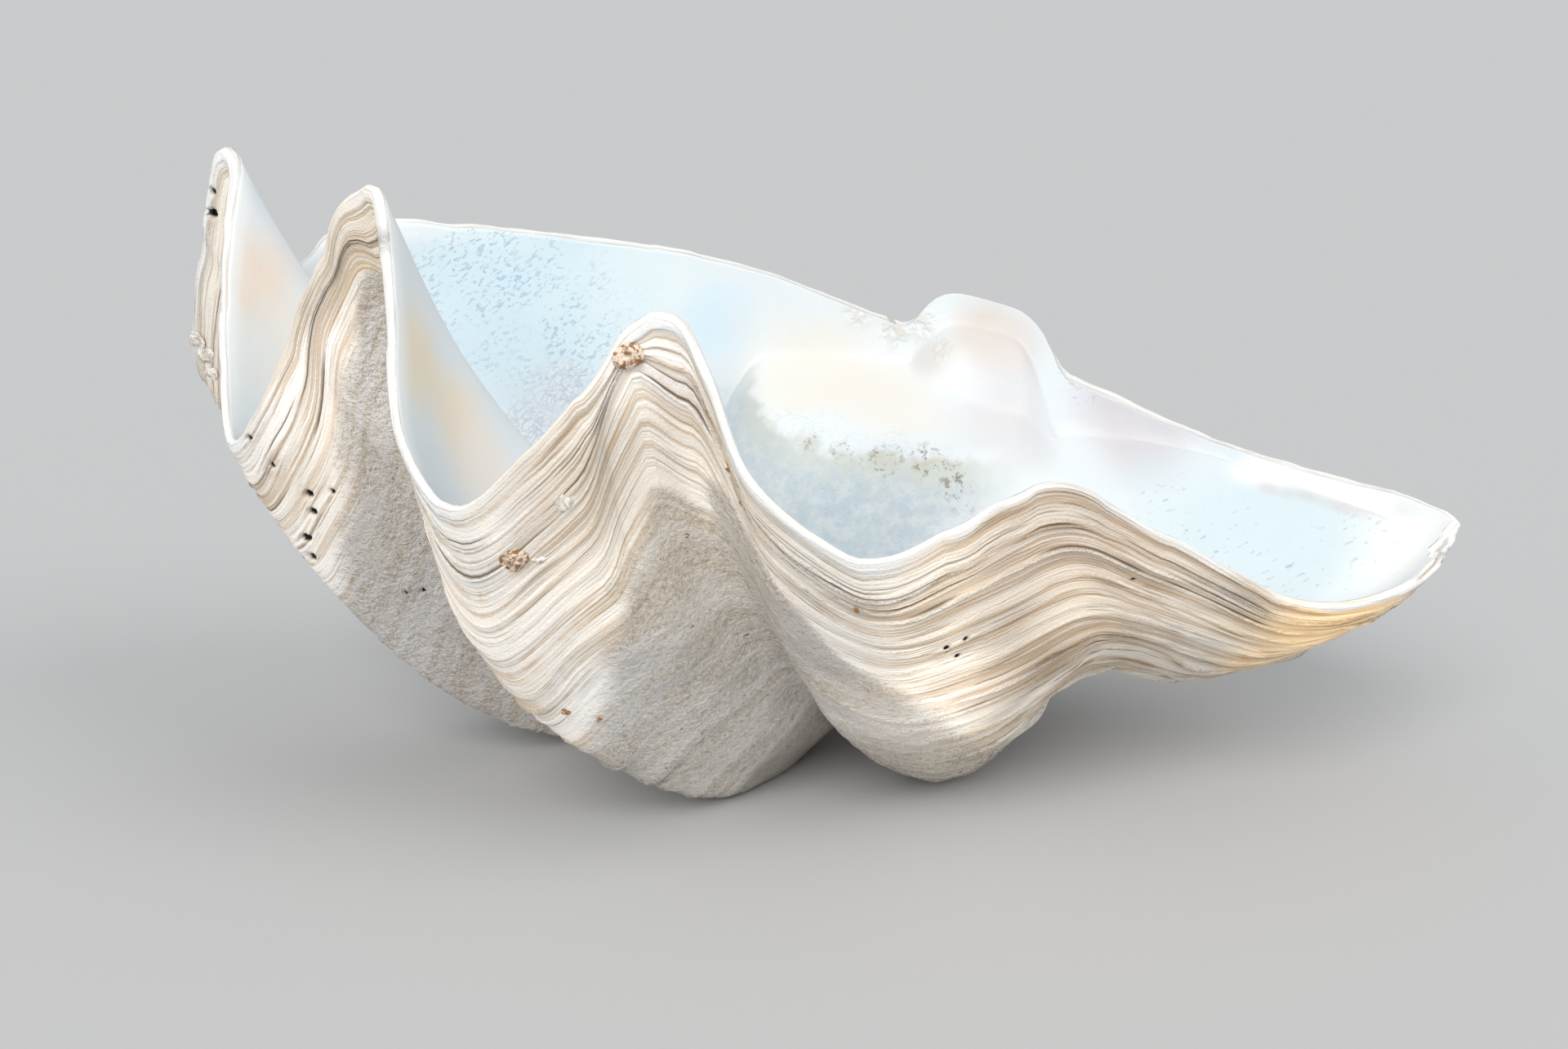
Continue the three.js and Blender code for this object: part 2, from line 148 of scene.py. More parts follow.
# The grid: places round the margin, and rows from the margin inwards. The rows of the inside stand closer
# at the lip. Spots of it that fold over are relaxed in steps, apart from the first rows.
PLACES, PLACE_STEPS = 430, 40
BELLY_ROWS = 12
BEAK_ROWS = 10
LIP_ROWS = 5
LIP_SHARES = np.linspace(0, 1, LIP_ROWS + 2)[1:-1]
INSIDE_ROWS, INSIDE_CLOSER = 34, 1.3
FLOOR_ROWS = 34
UNFOLD_STEPS, UNFOLD_AROUND, UNFOLD_HELD = 60, 4, 3

# Growth layers on the outside, in millimetres along the growth line. Each stands out at its upper edge,
# a few of them strongly, and they get wider towards the umbo.
GROWTH_LENGTH = 1100
LAYERS_REACH = 400
LAYER_NARROW, LAYER_WIDE = 1.8, 4.6
LAYER_WIDENS = 0.008
LAYER_HEIGHTS = (0.3, 1.1)
# How dark the crevice at the foot of an ordinary ledge is painted, as painted shade, between these shares;
# strong ledges get it in full.
LAYER_LINES = (0.1, 0.75)
LAYER_GROWS = 0.005
STRONG_SHARE, STRONG_HEIGHT = 0.2, 2.0
LEDGE_HALF = 0.4
LAYER_SEED, TONE_SEED = 7, 26

# From here on, noise that swings about 0 is given as height, grain and seed, and noise that varies as its
# least value, what is added at most, grain and seed. Layers stand out in patches and lie apart in the noise.
# Growth lines run in waves. Relief has set in, and waves begin to fade, at shares of the growth line.
PATCHES, PATCH_MOST, LAYERS_APART = (-0.5, 2.4, 38, 23), 1.4, 40
LONG_WAVES, SHORT_WAVES = (0.14, 90, 21), (3.0, 26, 27)
RELIEF_STARTS, WAVES_FADE = 0.02, 0.25

# Where the growth lines climb steeply along a crease into a peak: the place round the margin, half the
# width of the climb, its height and the place where the lines have come down again. Climbs and creases
# fade in and out between shares of the growth line.
CLIMBS = [(10.8, 0.4, 18, 12.6), (18.85, 0.4, 24, 20.4)]
CLIMB_IN, CLIMB_OUT = (0, 0.035), (0.09, 0.2)
COMING_DOWN, COME_DOWN = 0.7, 0.4
# Creases: half width, depth, and the share of painted shade that darkens their bottom.
CREASE_HALF, CREASE_DEPTH, CREASE_SHADE = 0.2, 4.0, 0.5
CREASE_IN, CREASE_OUT = (0.015, 0.05), (0.1, 0.17)

# How white the lip is: places round the margin and the share of white there, how wide the white is, and
# the distances between which its ragged edge ends.
LIP_WHITE = [
    (0, 1), (9.2, 1), (10, 0.15), (12.5, 0.3), (13.4, 1), (16.9, 1), (17.6, 0.2), (19.4, 0.35), (20.3, 1),
    (27.2, 1), (27.7, 0.6), (28.2, 1), (35, 1),
]
LIP_WHITE_WIDE = [(0, 1), (24.2, 1), (25.2, 0.4), (30, 0.4), (31, 1)]
LIP_WHITE_ENDS, LIP_WHITE_RAGGED = (5, 17), (0, 10, 17, 28)

# The rounded lip: greatest height of its crown, the crown's share of the thickness, the share of the growth
# line its direction is taken over, and its roughness, with rows that lie apart in the noise.
CROWN_MOST, CROWN_SHARE, LIP_BEHIND = 4, 0.3, 0.01
LIP_ROUGH, LIP_APART = (1.5, 9, 31), 9

# Chips in the lip: depth, then grain, seed and start of the short and the long ones. For the outside and
# the inside, the share of the chips, the depth of the break at the tip, and where both have faded.
CHIP_DEPTH = 2.8
CHIPS = [(19, 11, 0.55), (60, 12, 0.6)]
CHIPPED_OUTSIDE, CHIPPED_INSIDE = (1, 18, 0.05), (0.6, 36, 0.08)

# The broken tip of the wing: its place round the margin, its steps, and the gap where its layers part, with
# painted shade in that gap.
TIP_MIDDLE, TIP_HALF, TIP_CORE = 29.65, 0.55, 0.6
TIP_GRAIN, TIP_SEED, TIP_STEPS, TIP_LEAST = 11, 13, 3, 0.35
SPLIT_AT, SPLIT_WIDE, SPLIT_DEPTH, SPLIT_SHADE = 0.42, 0.14, 6, 0.9

# Ribs worn to sand: how ragged the edge is, the shares of the striped length between which the wear
# comes in, how much it takes off the ledges and the dark lines, and the wrinkles and lumps of the sand.
WORN_RAGGED = (0.04, 30, 22)
WORN_FROM, WORN_TO, WORN_PAST = 0.5, 1.6, 0.016
WORN_LEDGES, WORN_LINES = 0.75, 0.85
WRINKLES, LUMPS = (1.8, 13, 24), (2.2, 55, 25)

# Ripples of the inside, which come in over the first rows.
RIPPLES, RIPPLE_ROWS = [(0.9, 42, 32), (0.35, 15, 33)], 6

# The camera, where the photograph was taken from. Pixels are those of the 1920 x 1285 picture.
CAMERA_AT = np.array((-24.2, -1109.7, 436.0))
CAMERA_DOWN = math.radians(14)
PHOTO_WIDTH, PHOTO_HEIGHT = 1920, 1285
FOCAL_PIXELS = 2318
SENSOR_WIDTH = 36
CLOSE_PIXELS = 9

# Bore holes in the outside: pixel, radius and depth.
PITS = [
    (258, 240, 2.6, 5), (247, 262, 1.8, 4), (258, 270, 3.4, 6), (303, 543, 2.4, 5), (326, 575, 2.2, 4),
    (334, 580, 1.8, 4), (371, 609, 3.2, 6), (376, 629, 3.0, 6), (404, 606, 2.2, 4), (372, 668, 4.0, 5),
    (375, 688, 3.6, 5), (501, 730, 1.8, 4), (518, 733, 1.8, 4), (1390, 716, 1.8, 3), (1168, 792, 1.8, 3),
    (1178, 806, 1.8, 3), (1188, 790, 1.6, 3), (1160, 808, 1.6, 3),
]
PIT_PATCH, PIT_CUTS, PIT_REACH, PIT_EDGE = 4, 4, 1.3, (0.5, 1.1)
PIT_RAGGED, PIT_GRAIN, PIT_SEED = (0.75, 0.5), 0.9, 51

# Crusts left by barnacles and worms on the outside: pixel, radius, height and whether it is brown.
CRUSTS = [
    (776, 434, 7.0, 2.4, True), (636, 688, 6.5, 2.2, True), (655, 692, 4.0, 1.6, False),
    (690, 626, 5.5, 1.8, False), (883, 578, 2.6, 1.4, True), (900, 620, 2.4, 1.2, True),
    (848, 660, 2.0, 1.0, True), (690, 880, 2.4, 1.4, True), (735, 882, 2.4, 1.4, True),
    (1042, 752, 2.0, 1.0, True), (241, 420, 5.5, 1.6, False), (246, 440, 6.5, 1.8, False),
    (253, 460, 5.0, 1.5, False),
]
CRUST_SPOKES, CRUST_RINGS = 14, 5
CRUST_AROUND, CRUST_ASKEW, CRUST_SUNK, CRUST_TOP = 6, (0.3, 0.2, 0.9), 0.6, 0.5
CRUST_RAGGED, CRUST_GRAIN, CRUST_SEED = (0.6, 0.8), 0.9, 53
LUMPY, LUMPY_GRAIN, LUMPY_SEED = (0.2, 1.6), 0.5, 52

# The material slots of the mesh.
OUTSIDE_SLOT, INSIDE_SLOT, BROWN_SLOT, PALE_SLOT = 0, 1, 2, 3


def smooth(x, low, high):
    """A smooth step from 0 at low to 1 at high."""
    f = np.clip((x - low) / (high - low), 0, 1)
    return f * f * (3 - 2 * f)


def unit(vectors):
    return vectors / np.maximum(np.linalg.norm(vectors, axis=-1, keepdims=True), 1e-9)


def noise(points, grain, seed):
    """Smooth noise from 0 to 1 at points, with spots of about the given grain."""
    side = 32
    table = np.random.default_rng(seed).random((side, side, side))
    cell = points / grain
    base = np.floor(cell).astype(int)
    f = cell - base
    f = f * f * (3 - 2 * f)
    total = np.zeros(points.shape[:-1])
    for corner in itertools.product((0, 1), repeat=3):
        weight = np.prod(np.where(corner, f, 1 - f), axis=-1)
        i, j, k = np.moveaxis((base + corner) % side, -1, 0)
        total += weight * table[i, j, k]
    return total


def swing(points, height, grain, seed):
    return height * (noise(points, grain, seed) - 0.5)


def varied(points, least, more, grain, seed):
    return least + more * noise(points, grain, seed)


def edge_at(table, u):
    """The margin at places u, counted in landmarks, on a smooth closed curve."""
    first = np.floor(u).astype(int)
    f = (u - first)[..., None]
    a, b, c, d = (table[(first + k) % len(table)] for k in (-1, 0, 1, 2))
    slope_b = (c - a) / 2
    slope_c = (d - b) / 2
    cubic = 2 * (b - c) + slope_b + slope_c
    square = 3 * (c - b) - 2 * slope_b - slope_c
    return ((cubic * f + square) * f + slope_b) * f + b


def crest_line():
    """The margin with each fold levelled up to the line between its two crests."""
    crests = np.flatnonzero(MARGIN[:, CREST])
    places = np.arange(len(MARGIN))
    return np.stack([np.interp(places, crests, MARGIN[crests, k]) for k in range(MARGIN.shape[1])], axis=1)


CRESTS = crest_line()


def growth_point(edge, t, pole):
    """Points on the growth lines from the margin (t = 0) back to a pole (t = 1)."""
    t = t[..., None]
    back = 1 - t
    reach = back**3 + 3 * back**2 * t * edge[..., [SHOULDER]] + 3 * back * t**2 * edge[..., [HEEL]]
    depth = 3 * back**2 * t * BELLY_FRONT + 3 * back * t**2 * BELLY_BACK
    arm = edge[..., AT] - pole
    sink = np.linalg.norm(arm, axis=-1, keepdims=True) * edge[..., [BULGE]] * depth
    sway = edge[..., [SWAY]] * smooth(t, 0, SWAY_FULL) * (1 - smooth(t, SWAY_EASES, SWAY_GONE))
    return pole + reach * arm + sink * DOWN + sway * SWAY_WAY


def inward_normal(surface, u, t):
    along = surface(u + TINY, t) - surface(u - TINY, t)
    back = surface(u, t + TINY) - surface(u, np.maximum(0, t - TINY))
    return unit(np.cross(along, back))


def outside_base(u, t):
    return growth_point(edge_at(MARGIN, u), t, UMBO)


def inside_base(u, t):
    margin = edge_at(MARGIN, u)
    filled = smooth(t, 0, FOLDS_FILLED)[..., None]
    edge = margin + (edge_at(CRESTS, u) - margin) * filled
    drawn = np.maximum(edge[..., HINGE], DRAWN_MOST * smooth(t, DRAWN_FROM, DRAWN_TO))
    pole = UMBO + (UNDER_HINGE - UMBO) * np.clip(drawn, 0, 1)[..., None]
    return growth_point(edge, t, pole)


def inside_point(u, t):
    """The inside before it thickens: a wall's thickness in from the base, evened out along the margin."""
    normal = np.zeros(u.shape + (3,))
    for k in range(-EVENED_PLACES, EVENED_PLACES + 1):
        weight = EVENED_PLACES + 1 - abs(k)
        normal += weight * inward_normal(inside_base, u + k * EVENED_SPACING, t)
    lip = edge_at(MARGIN, u)[..., LIP]
    thickness = lip + (np.maximum(WALL, lip) - lip) * smooth(t, 0, FLOOR_START)
    return inside_base(u, t) + unit(normal) * thickness[..., None]


def callus_round(x, y):
    """How far out from the middle of the callus, 1 at its half widths."""
    dx = np.abs(x - CALLUS_AT[0]) / CALLUS_HALF[0]
    dy = np.abs(y - CALLUS_AT[1]) / CALLUS_HALF[1]
    return (dx**CALLUS_SQUARENESS + dy**CALLUS_SQUARENESS) ** (1 / CALLUS_SQUARENESS)


def callus_height(x, y):
    r = callus_round(x, y)
    plane = CALLUS_LEVEL - (CALLUS_LEVEL_Y - y) * CALLUS_SLOPE[1] - (x - CALLUS_AT[0]) * CALLUS_SLOPE[0]
    return plane - CALLUS_DROP * smooth(r, CALLUS_FALLS, CALLUS_GONE) - CALLUS_CROWN * r**2


def wing_height(x, y):
    way = (WING_TO - WING_FROM)[:2]
    length = np.hypot(*way)
    way = way / length
    along = (x - WING_FROM[0]) * way[0] + (y - WING_FROM[1]) * way[1]
    across = np.abs((x - WING_FROM[0]) * way[1] - (y - WING_FROM[1]) * way[0])
    level = WING_FROM[2] + (WING_TO[2] - WING_FROM[2]) * np.clip(along / length, 0, 1)
    return level - WING_ACROSS * across - WING_PAST * np.maximum(0, -along)


def tooth_height(x, y):
    dx = (x - TOOTH_AT[0]) / np.where(x > TOOTH_AT[0], TOOTH_RIGHT, TOOTH_LEFT)
    dy = (y - TOOTH_AT[1]) / TOOTH_DEPTH
    r = np.minimum(1, np.hypot(dx, dy))
    return TOOTH_HEIGHT * (1 - r**TOOTH_SQUARENESS) ** 2


def higher_of(a, b, blend):
    share = np.clip(0.5 + 0.5 * (a - b) / blend, 0, 1)
    return b + (a - b) * share + blend * share * (1 - share)


def raised(points, share):
    """Inside points raised onto the callus and the wing slope, by a share, and onto the tooth."""
    x, y, z = np.moveaxis(points, -1, 0)
    thick = higher_of(z, callus_height(x, y), CALLUS_BLEND)
    thick = higher_of(thick, wing_height(x, y), WING_BLEND)
    z = z + (thick - z) * share + tooth_height(x, y)
    return np.stack((x, y, z), axis=-1)


def places_round():
    """Places round the margin, evenly spaced along it, with their distance along it."""
    fine = np.linspace(0, len(MARGIN), PLACE_STEPS * len(MARGIN) + 1)
    steps = np.linalg.norm(np.diff(edge_at(MARGIN, fine)[:, AT], axis=0), axis=1)
    walked = np.concatenate(((0,), np.cumsum(steps)))
    around = np.linspace(0, walked[-1], PLACES, endpoint=False)
    return np.interp(around, walked, fine), around


def growth_rows():
    """Rows of the layered outside: distance back, share of the ledge, ledge height, the painted shade line
    in the crevice at the ledge's foot, and layer.
    """
    rng = np.random.default_rng(LAYER_SEED)
    rows = [(0, 0, 0, 0, 0)]
    start = rng.uniform(LAYER_NARROW, LAYER_WIDE)
    layer = 1
    while start < LAYERS_REACH:
        strong = rng.random() < STRONG_SHARE
        height = STRONG_HEIGHT if strong else rng.uniform(*LAYER_HEIGHTS)
        line = 1.0 if strong else rng.uniform(*LAYER_LINES)
        rows.append((start - LEDGE_HALF, 0, height, line, layer - 1))
        rows.append((start + LEDGE_HALF, 1, height, 0, layer))
        start += rng.uniform(LAYER_NARROW, LAYER_WIDE) * (1 + LAYER_WIDENS * start)
        layer += 1
    return np.array(rows)


def tip_share(u):
    """A share from 0 to 1, high at the broken tip of the wing."""
    return 1 - smooth(np.abs(u - TIP_MIDDLE), TIP_CORE * TIP_HALF, TIP_HALF)


def tip_split(f):
    """How deep the layers of the broken tip part, from 0 to 1, at shares f of the way over the lip."""
    return np.exp(-(((f - SPLIT_AT) / SPLIT_WIDE) ** 2))


def chips(u, around, back, share, break_depth, fade):
    """How far the lip has worn back, as a share of the growth line."""
    line = np.stack((around, np.zeros_like(around), np.zeros_like(around)), axis=-1)
    small = sum(CHIP_DEPTH * smooth(noise(line, grain, seed), start, 1) for grain, seed, start in CHIPS)
    steps = np.round(TIP_STEPS * noise(line, TIP_GRAIN, TIP_SEED)) / TIP_STEPS
    broken = break_depth * tip_share(u) * (TIP_LEAST + (1 - TIP_LEAST) * steps)
    return (small * share + broken) / GROWTH_LENGTH * (1 - smooth(back, 0, fade))


def climbs(u, back):
    """How far the growth lines are lifted where they climb into a groove, as a share of the growth line."""
    lift = np.zeros(np.broadcast(u, back).shape)
    fades = smooth(back, *CLIMB_IN) * (1 - smooth(back, *CLIMB_OUT))
    for place, half, height, ends in CLIMBS:
        down = smooth(u, ends - COMING_DOWN, ends + COME_DOWN)
        rise = smooth(u, place - half, place + half) * (1 - down)
        lift += rise * fades * height / GROWTH_LENGTH
    return lift


def creases(u, back):
    """The creases along the climbs, from 0 to 1 at their bottom."""
    depth = np.zeros(np.broadcast(u, back).shape)
    for climb in CLIMBS:
        depth += np.exp(-(((u - climb[0]) / CREASE_HALF) ** 2))
    return depth * smooth(back, *CREASE_IN) * (1 - smooth(back, *CREASE_OUT))


def growth_lines(u, around, back, chart):
    """Where the rows of the outside run: in waves, up along the creases, and worn back at the lip."""
    fades = (1 - smooth(back, WAVES_FADE, BEAK_START)) * smooth(back, 0, RELIEF_STARTS)
    waves = swing(chart, *LONG_WAVES) * back + swing(chart, *SHORT_WAVES) / GROWTH_LENGTH
    t = back + waves * fades - climbs(u, back)
    return t + chips(u, around, back, *CHIPPED_OUTSIDE)


def worn_share(u, t, chart):
    """How far the growth layers are worn to sand, from 0 to 1."""
    stripes = edge_at(MARGIN, u)[:, STRIPES]
    return smooth(t + swing(chart, *WORN_RAGGED), stripes * WORN_FROM, stripes * WORN_TO + WORN_PAST)


def lip_whiteness(u, distance, chart):
    """How white the outside is beside the lip, from 0 to 1."""
    away = distance / np.interp(u, *zip(*LIP_WHITE_WIDE)) + varied(chart, *LIP_WHITE_RAGGED)
    return np.interp(u, *zip(*LIP_WHITE)) * (1 - smooth(away, *LIP_WHITE_ENDS))


def outside_rows(u, around):
    """The outside from the margin to the beak, with what the materials need to know at each point."""
    rows = growth_rows()
    belly = np.linspace(rows[-1, 0] / GROWTH_LENGTH, BEAK_START, BELLY_ROWS + 1)[1:]
    back = np.concatenate((rows[:, 0] / GROWTH_LENGTH, belly))[:, None]
    plain = np.zeros(len(belly))
    ledge, height, line, layer = (np.concatenate((rows[:, k], plain))[:, None] for k in range(1, 5))
    shape = (len(back), PLACES)
    u_grid = np.broadcast_to(u, shape)
    distance = np.broadcast_to(back * GROWTH_LENGTH, shape)
    chart = np.stack((np.broadcast_to(around, shape), distance, np.zeros(shape)), axis=-1)
    t = growth_lines(u, around, back, chart)

    worn = worn_share(u, t, chart)
    patchy = np.clip(varied(chart + (0, 0, LAYERS_APART) * layer[..., None], *PATCHES), 0, PATCH_MOST)
    points = outside_base(u_grid, t)
    crease = creases(u, back)
    relief = swing(points, *WRINKLES) * worn + swing(points, *LUMPS)
    out = ledge * height * patchy * (1 - WORN_LEDGES * worn) * (1 + LAYER_GROWS * distance)
    out = out + relief * smooth(back, 0, RELIEF_STARTS) - CREASE_DEPTH * crease
    points = points - inward_normal(outside_base, u_grid, t) * out[..., None]
    tone = np.random.default_rng(TONE_SEED).random(int(layer.max()) + 1)[layer.astype(int)]
    # Painted shade: a dark line in the crevice at the foot of each ledge, and a darker bottom in each
    # crease.
    shade_line = line * np.clip(patchy, 0, 1) * (1 - WORN_LINES * worn)
    facts = {
        "growth": distance,
        "around": chart[..., 0],
        "crevice_shade": np.maximum(shade_line, CREASE_SHADE * crease),
        "white_lip": lip_whiteness(u, distance, chart),
        "tone": np.broadcast_to(tone, shape),
        "eroded": worn,
    }
    return points, facts


def beak_rows(u):
    """Rows that close the outside from its last ring to the beak."""
    t = np.full_like(u, BEAK_START)
    start = outside_base(u, t)
    way = unit(start - outside_base(u, t - TINY))
    arm = start - BEAK
    lead = start + way * np.linalg.norm(arm, axis=-1, keepdims=True) * BEAK_LEAD
    flat = arm - (arm @ BEAK_FACING)[:, None] * BEAK_FACING
    spread = BEAK + flat * BEAK_SPREAD
    f = np.linspace(0, 1, BEAK_ROWS + 2)[1:-1, None, None]
    return (1 - f) ** 3 * start + 3 * (1 - f) ** 2 * f * lead + 3 * (1 - f) * f**2 * spread + f**3 * BEAK


def inside_rows(u, around):
    """The inside from the lip to the last ring of its wall."""
    back = FLOOR_START * np.linspace(0, 1, INSIDE_ROWS)[:, None] ** INSIDE_CLOSER
    t = back + chips(u, around, back, *CHIPPED_INSIDE)
    u_grid = np.broadcast_to(u, t.shape)
    share = np.maximum(edge_at(MARGIN, u)[:, HINGE], smooth(t, 0, RAISE_STARTS))
    return raised(inside_point(u_grid, t), np.clip(share, 0, 1))


def floor_rows(u):
    """Rows that close the inside, straight to the floor point in plan."""
    t = np.full_like(u, FLOOR_START)
    start = inside_point(u, t)
    way = start - inside_point(u, t - TINY)
    slope = np.clip(way[:, 2] / np.hypot(way[:, 0], way[:, 1]), -STEEPEST, STEEPEST)
    dip = slope * np.hypot(*(FLOOR - start)[:, :2].T)
    f = np.linspace(0, 1, FLOOR_ROWS + 2)[1:-1, None]
    points = start + (FLOOR - start) * f[..., None]
    points[..., 2] = start[:, 2] + (FLOOR[2] - start[:, 2]) * smooth(f, 0, 1) + dip * f * (1 - f) ** 3
    return raised(points, 1)


def unfolded(grid):
    """Inside rows with the few spots that fold over themselves relaxed until they face up."""
    for _ in range(UNFOLD_STEPS):
        along = np.roll(grid, -1, axis=1) - grid
        down = np.cross(along[:-1], np.diff(grid, axis=0))[..., 2] < 0
        marks = np.zeros((len(grid) + 2, grid.shape[1]), bool)
        for row, place in itertools.product(range(UNFOLD_AROUND), range(-1, UNFOLD_AROUND - 1)):
            marks[row : row + len(down)] |= np.roll(down, place, axis=1)
        loose = marks[1:-1]
        loose[:UNFOLD_HELD] = False
        loose[-1] = False
        beside = np.roll(grid, 1, axis=1) + np.roll(grid, -1, axis=1)
        before = np.roll(grid, 1, axis=0) + np.roll(grid, -1, axis=0)
        grid = np.where(loose[..., None], (beside + before) / 4, grid)
    return grid


def lip_rows(outer, inner, u):
    """Rows over the rounded lip, from the outer edge to the inner one."""
    outward = unit(outer - outside_base(u, np.full_like(u, LIP_BEHIND)))
    thickness = np.linalg.norm(inner - outer, axis=-1, keepdims=True)
    crown = np.minimum(CROWN_MOST, CROWN_SHARE * thickness)
    f = LIP_SHARES[:, None, None]
    rough = swing(outer[None] + (0, 0, LIP_APART) * f, *LIP_ROUGH)
    split = SPLIT_DEPTH * tip_share(u)[:, None] * tip_split(f)
    return outer + (inner - outer) * f + outward * (crown * 4 * f * (1 - f) + rough[..., None] - split)


def shell_points():
    """All points of the skin, row by row from the beak over the lip to the floor, and their facts."""
    u, around = places_round()
    outside, facts = outside_rows(u, around)
    beak = beak_rows(u)
    inside = inside_rows(u, around)
    floor = floor_rows(u)
    lip = lip_rows(outside[0], inside[0], u)
    inner = unfolded(np.concatenate((inside, floor)))
    ripple = sum(swing(inner, *ripples) for ripples in RIPPLES)
    inner[..., 2] += ripple * smooth(np.arange(len(inner)), 0, RIPPLE_ROWS)[:, None]
    outer = np.concatenate((outside, beak))[::-1]
    outer[..., 2] = np.maximum(outer[..., 2], 0)
    rings = np.concatenate((outer, lip, inner))
    rows = {"outside": len(outer), "lip": len(lip), "inside": len(inner)}

    full = {}
    for name, values in facts.items():
        deep = np.repeat(values[-1:], len(beak), axis=0)
        edge = np.repeat(values[:1], len(lip) + len(inner), axis=0)
        full[name] = np.concatenate((deep, values[::-1], edge))
    over_lip = slice(len(outer), len(outer) + len(lip))
    full["growth"][over_lip] = -np.linalg.norm(lip - outside[0], axis=-1)
    # Over the lip, the gap where the broken tip's layers part gets painted shade.
    full["crevice_shade"][over_lip] = SPLIT_SHADE * tip_share(u) * tip_split(LIP_SHARES[:, None])
    return rings, full, rows


def quads_between(first, count, rings):
    """Quads between closed rings of points, numbered on from the first point."""
    i = np.arange(count)
    after = (i + 1) % count
    near = first + count * np.arange(rings - 1)[:, None]
    far = near + count
    return np.stack((near + i, near + after, far + after, far + i), axis=-1).reshape(-1, 4).tolist()


def shell_faces(count, rows):
    """Quads between the rows, and triangles to the pole at each end, facing out."""
    i = np.arange(count)
    after = (i + 1) % count
    quads = quads_between(1, count, rows)
    last = 1 + (rows - 1) * count
    pole = last + count
    start_cap = np.stack((np.zeros_like(i), 1 + after, 1 + i), axis=1).tolist()
    end_cap = np.stack((np.full_like(i, pole), last + i, last + after), axis=1).tolist()
    return quads + start_cap + end_cap


def to_pixels(points):
    """Where points show in the photograph, and how far they are from the camera."""
    x, y, z = np.moveaxis(points - CAMERA_AT, -1, 0)
    ahead = y * math.cos(CAMERA_DOWN) - z * math.sin(CAMERA_DOWN)
    up = y * math.sin(CAMERA_DOWN) + z * math.cos(CAMERA_DOWN)
    return PHOTO_WIDTH / 2 + FOCAL_PIXELS * x / ahead, PHOTO_HEIGHT / 2 - FOCAL_PIXELS * up / ahead, ahead


def spot_on(points, px, py):
    """The point nearest to the camera among those that show close to a pixel."""
    x, y, ahead = to_pixels(points)
    off = np.hypot(x - px, y - py)
    close = off < max(CLOSE_PIXELS, off.min() + 1)
    return points[np.flatnonzero(close)[np.argmin(ahead[close])]]


# Broad tints of the inside: pixel, radius in millimetres, colour and strength.
# The inside's white, its faint blue cast partly painted sky light.
WHITE = (0.68, 0.73, 0.76)
LIP_COLOUR = (0.82, 0.84, 0.84)
INSIDE_TINTS_AND_PAINTED_LIGHT = [
    # First peak and the wall below it.
    (310, 335, 40, (0.74, 0.63, 0.53), 0.95), (330, 440, 30, (0.72, 0.69, 0.64), 0.6),
    # Second peak, the wall below it, and the third rib behind its lip.
    (495, 350, 22, (0.66, 0.70, 0.71), 0.7), (515, 430, 32, (0.76, 0.67, 0.51), 0.95),
    (555, 500, 32, (0.77, 0.68, 0.55), 0.95), (600, 570, 28, (0.77, 0.71, 0.64), 0.8),
    # This tint lightens the shaded inner side of the second peak's lip: painted light.
    (512, 565, 24, (0.92, 0.97, 1.0), 0.95),
    # Back wall.
    (640, 360, 95, (0.56, 0.71, 0.79), 0.8), (800, 350, 60, (0.69, 0.78, 0.80), 0.6),
    (880, 395, 30, (0.56, 0.70, 0.79), 0.7),
    # Hollow: partly its own blue-grey, partly painted shade of the recess under the callus.
    (1080, 640, 62, (0.42, 0.47, 0.55), 0.85), (1000, 640, 45, (0.45, 0.53, 0.60), 0.8),
    (1180, 600, 40, (0.55, 0.57, 0.58), 0.6),
    # Callus.
    (1000, 450, 52, (0.72, 0.69, 0.62), 0.9), (1080, 480, 48, (0.71, 0.68, 0.63), 0.85),
    # Tooth and the slopes beside it.
    (1210, 400, 34, (0.60, 0.53, 0.48), 0.85), (1250, 430, 30, (0.62, 0.57, 0.55), 0.7),
    (1230, 500, 42, (0.62, 0.60, 0.61), 0.7), (1390, 510, 55, (0.55, 0.51, 0.54), 0.85),
    (1330, 600, 40, (0.61, 0.58, 0.61), 0.7),
    # Wing, and the left foot of the tooth.
    (1560, 640, 90, (0.58, 0.69, 0.73), 0.85), (1132, 437, 17, (0.62, 0.56, 0.51), 0.5),
]

# The white flange along the back of the wing and the faint line in front of it, as rows of tints: first
# and last pixel, count, radius, colour and strength.
WING_ROWS = [
    ((1530, 568), (1745, 628), 9, 16, (0.86, 0.85, 0.85), 0.8),
    ((1545, 588), (1770, 645), 16, 7, (0.56, 0.52, 0.52), 0.45),
]
for start, end, count, *look in WING_ROWS:
    INSIDE_TINTS_AND_PAINTED_LIGHT += [(px, py, *look) for px, py in np.linspace(start, end, count)]

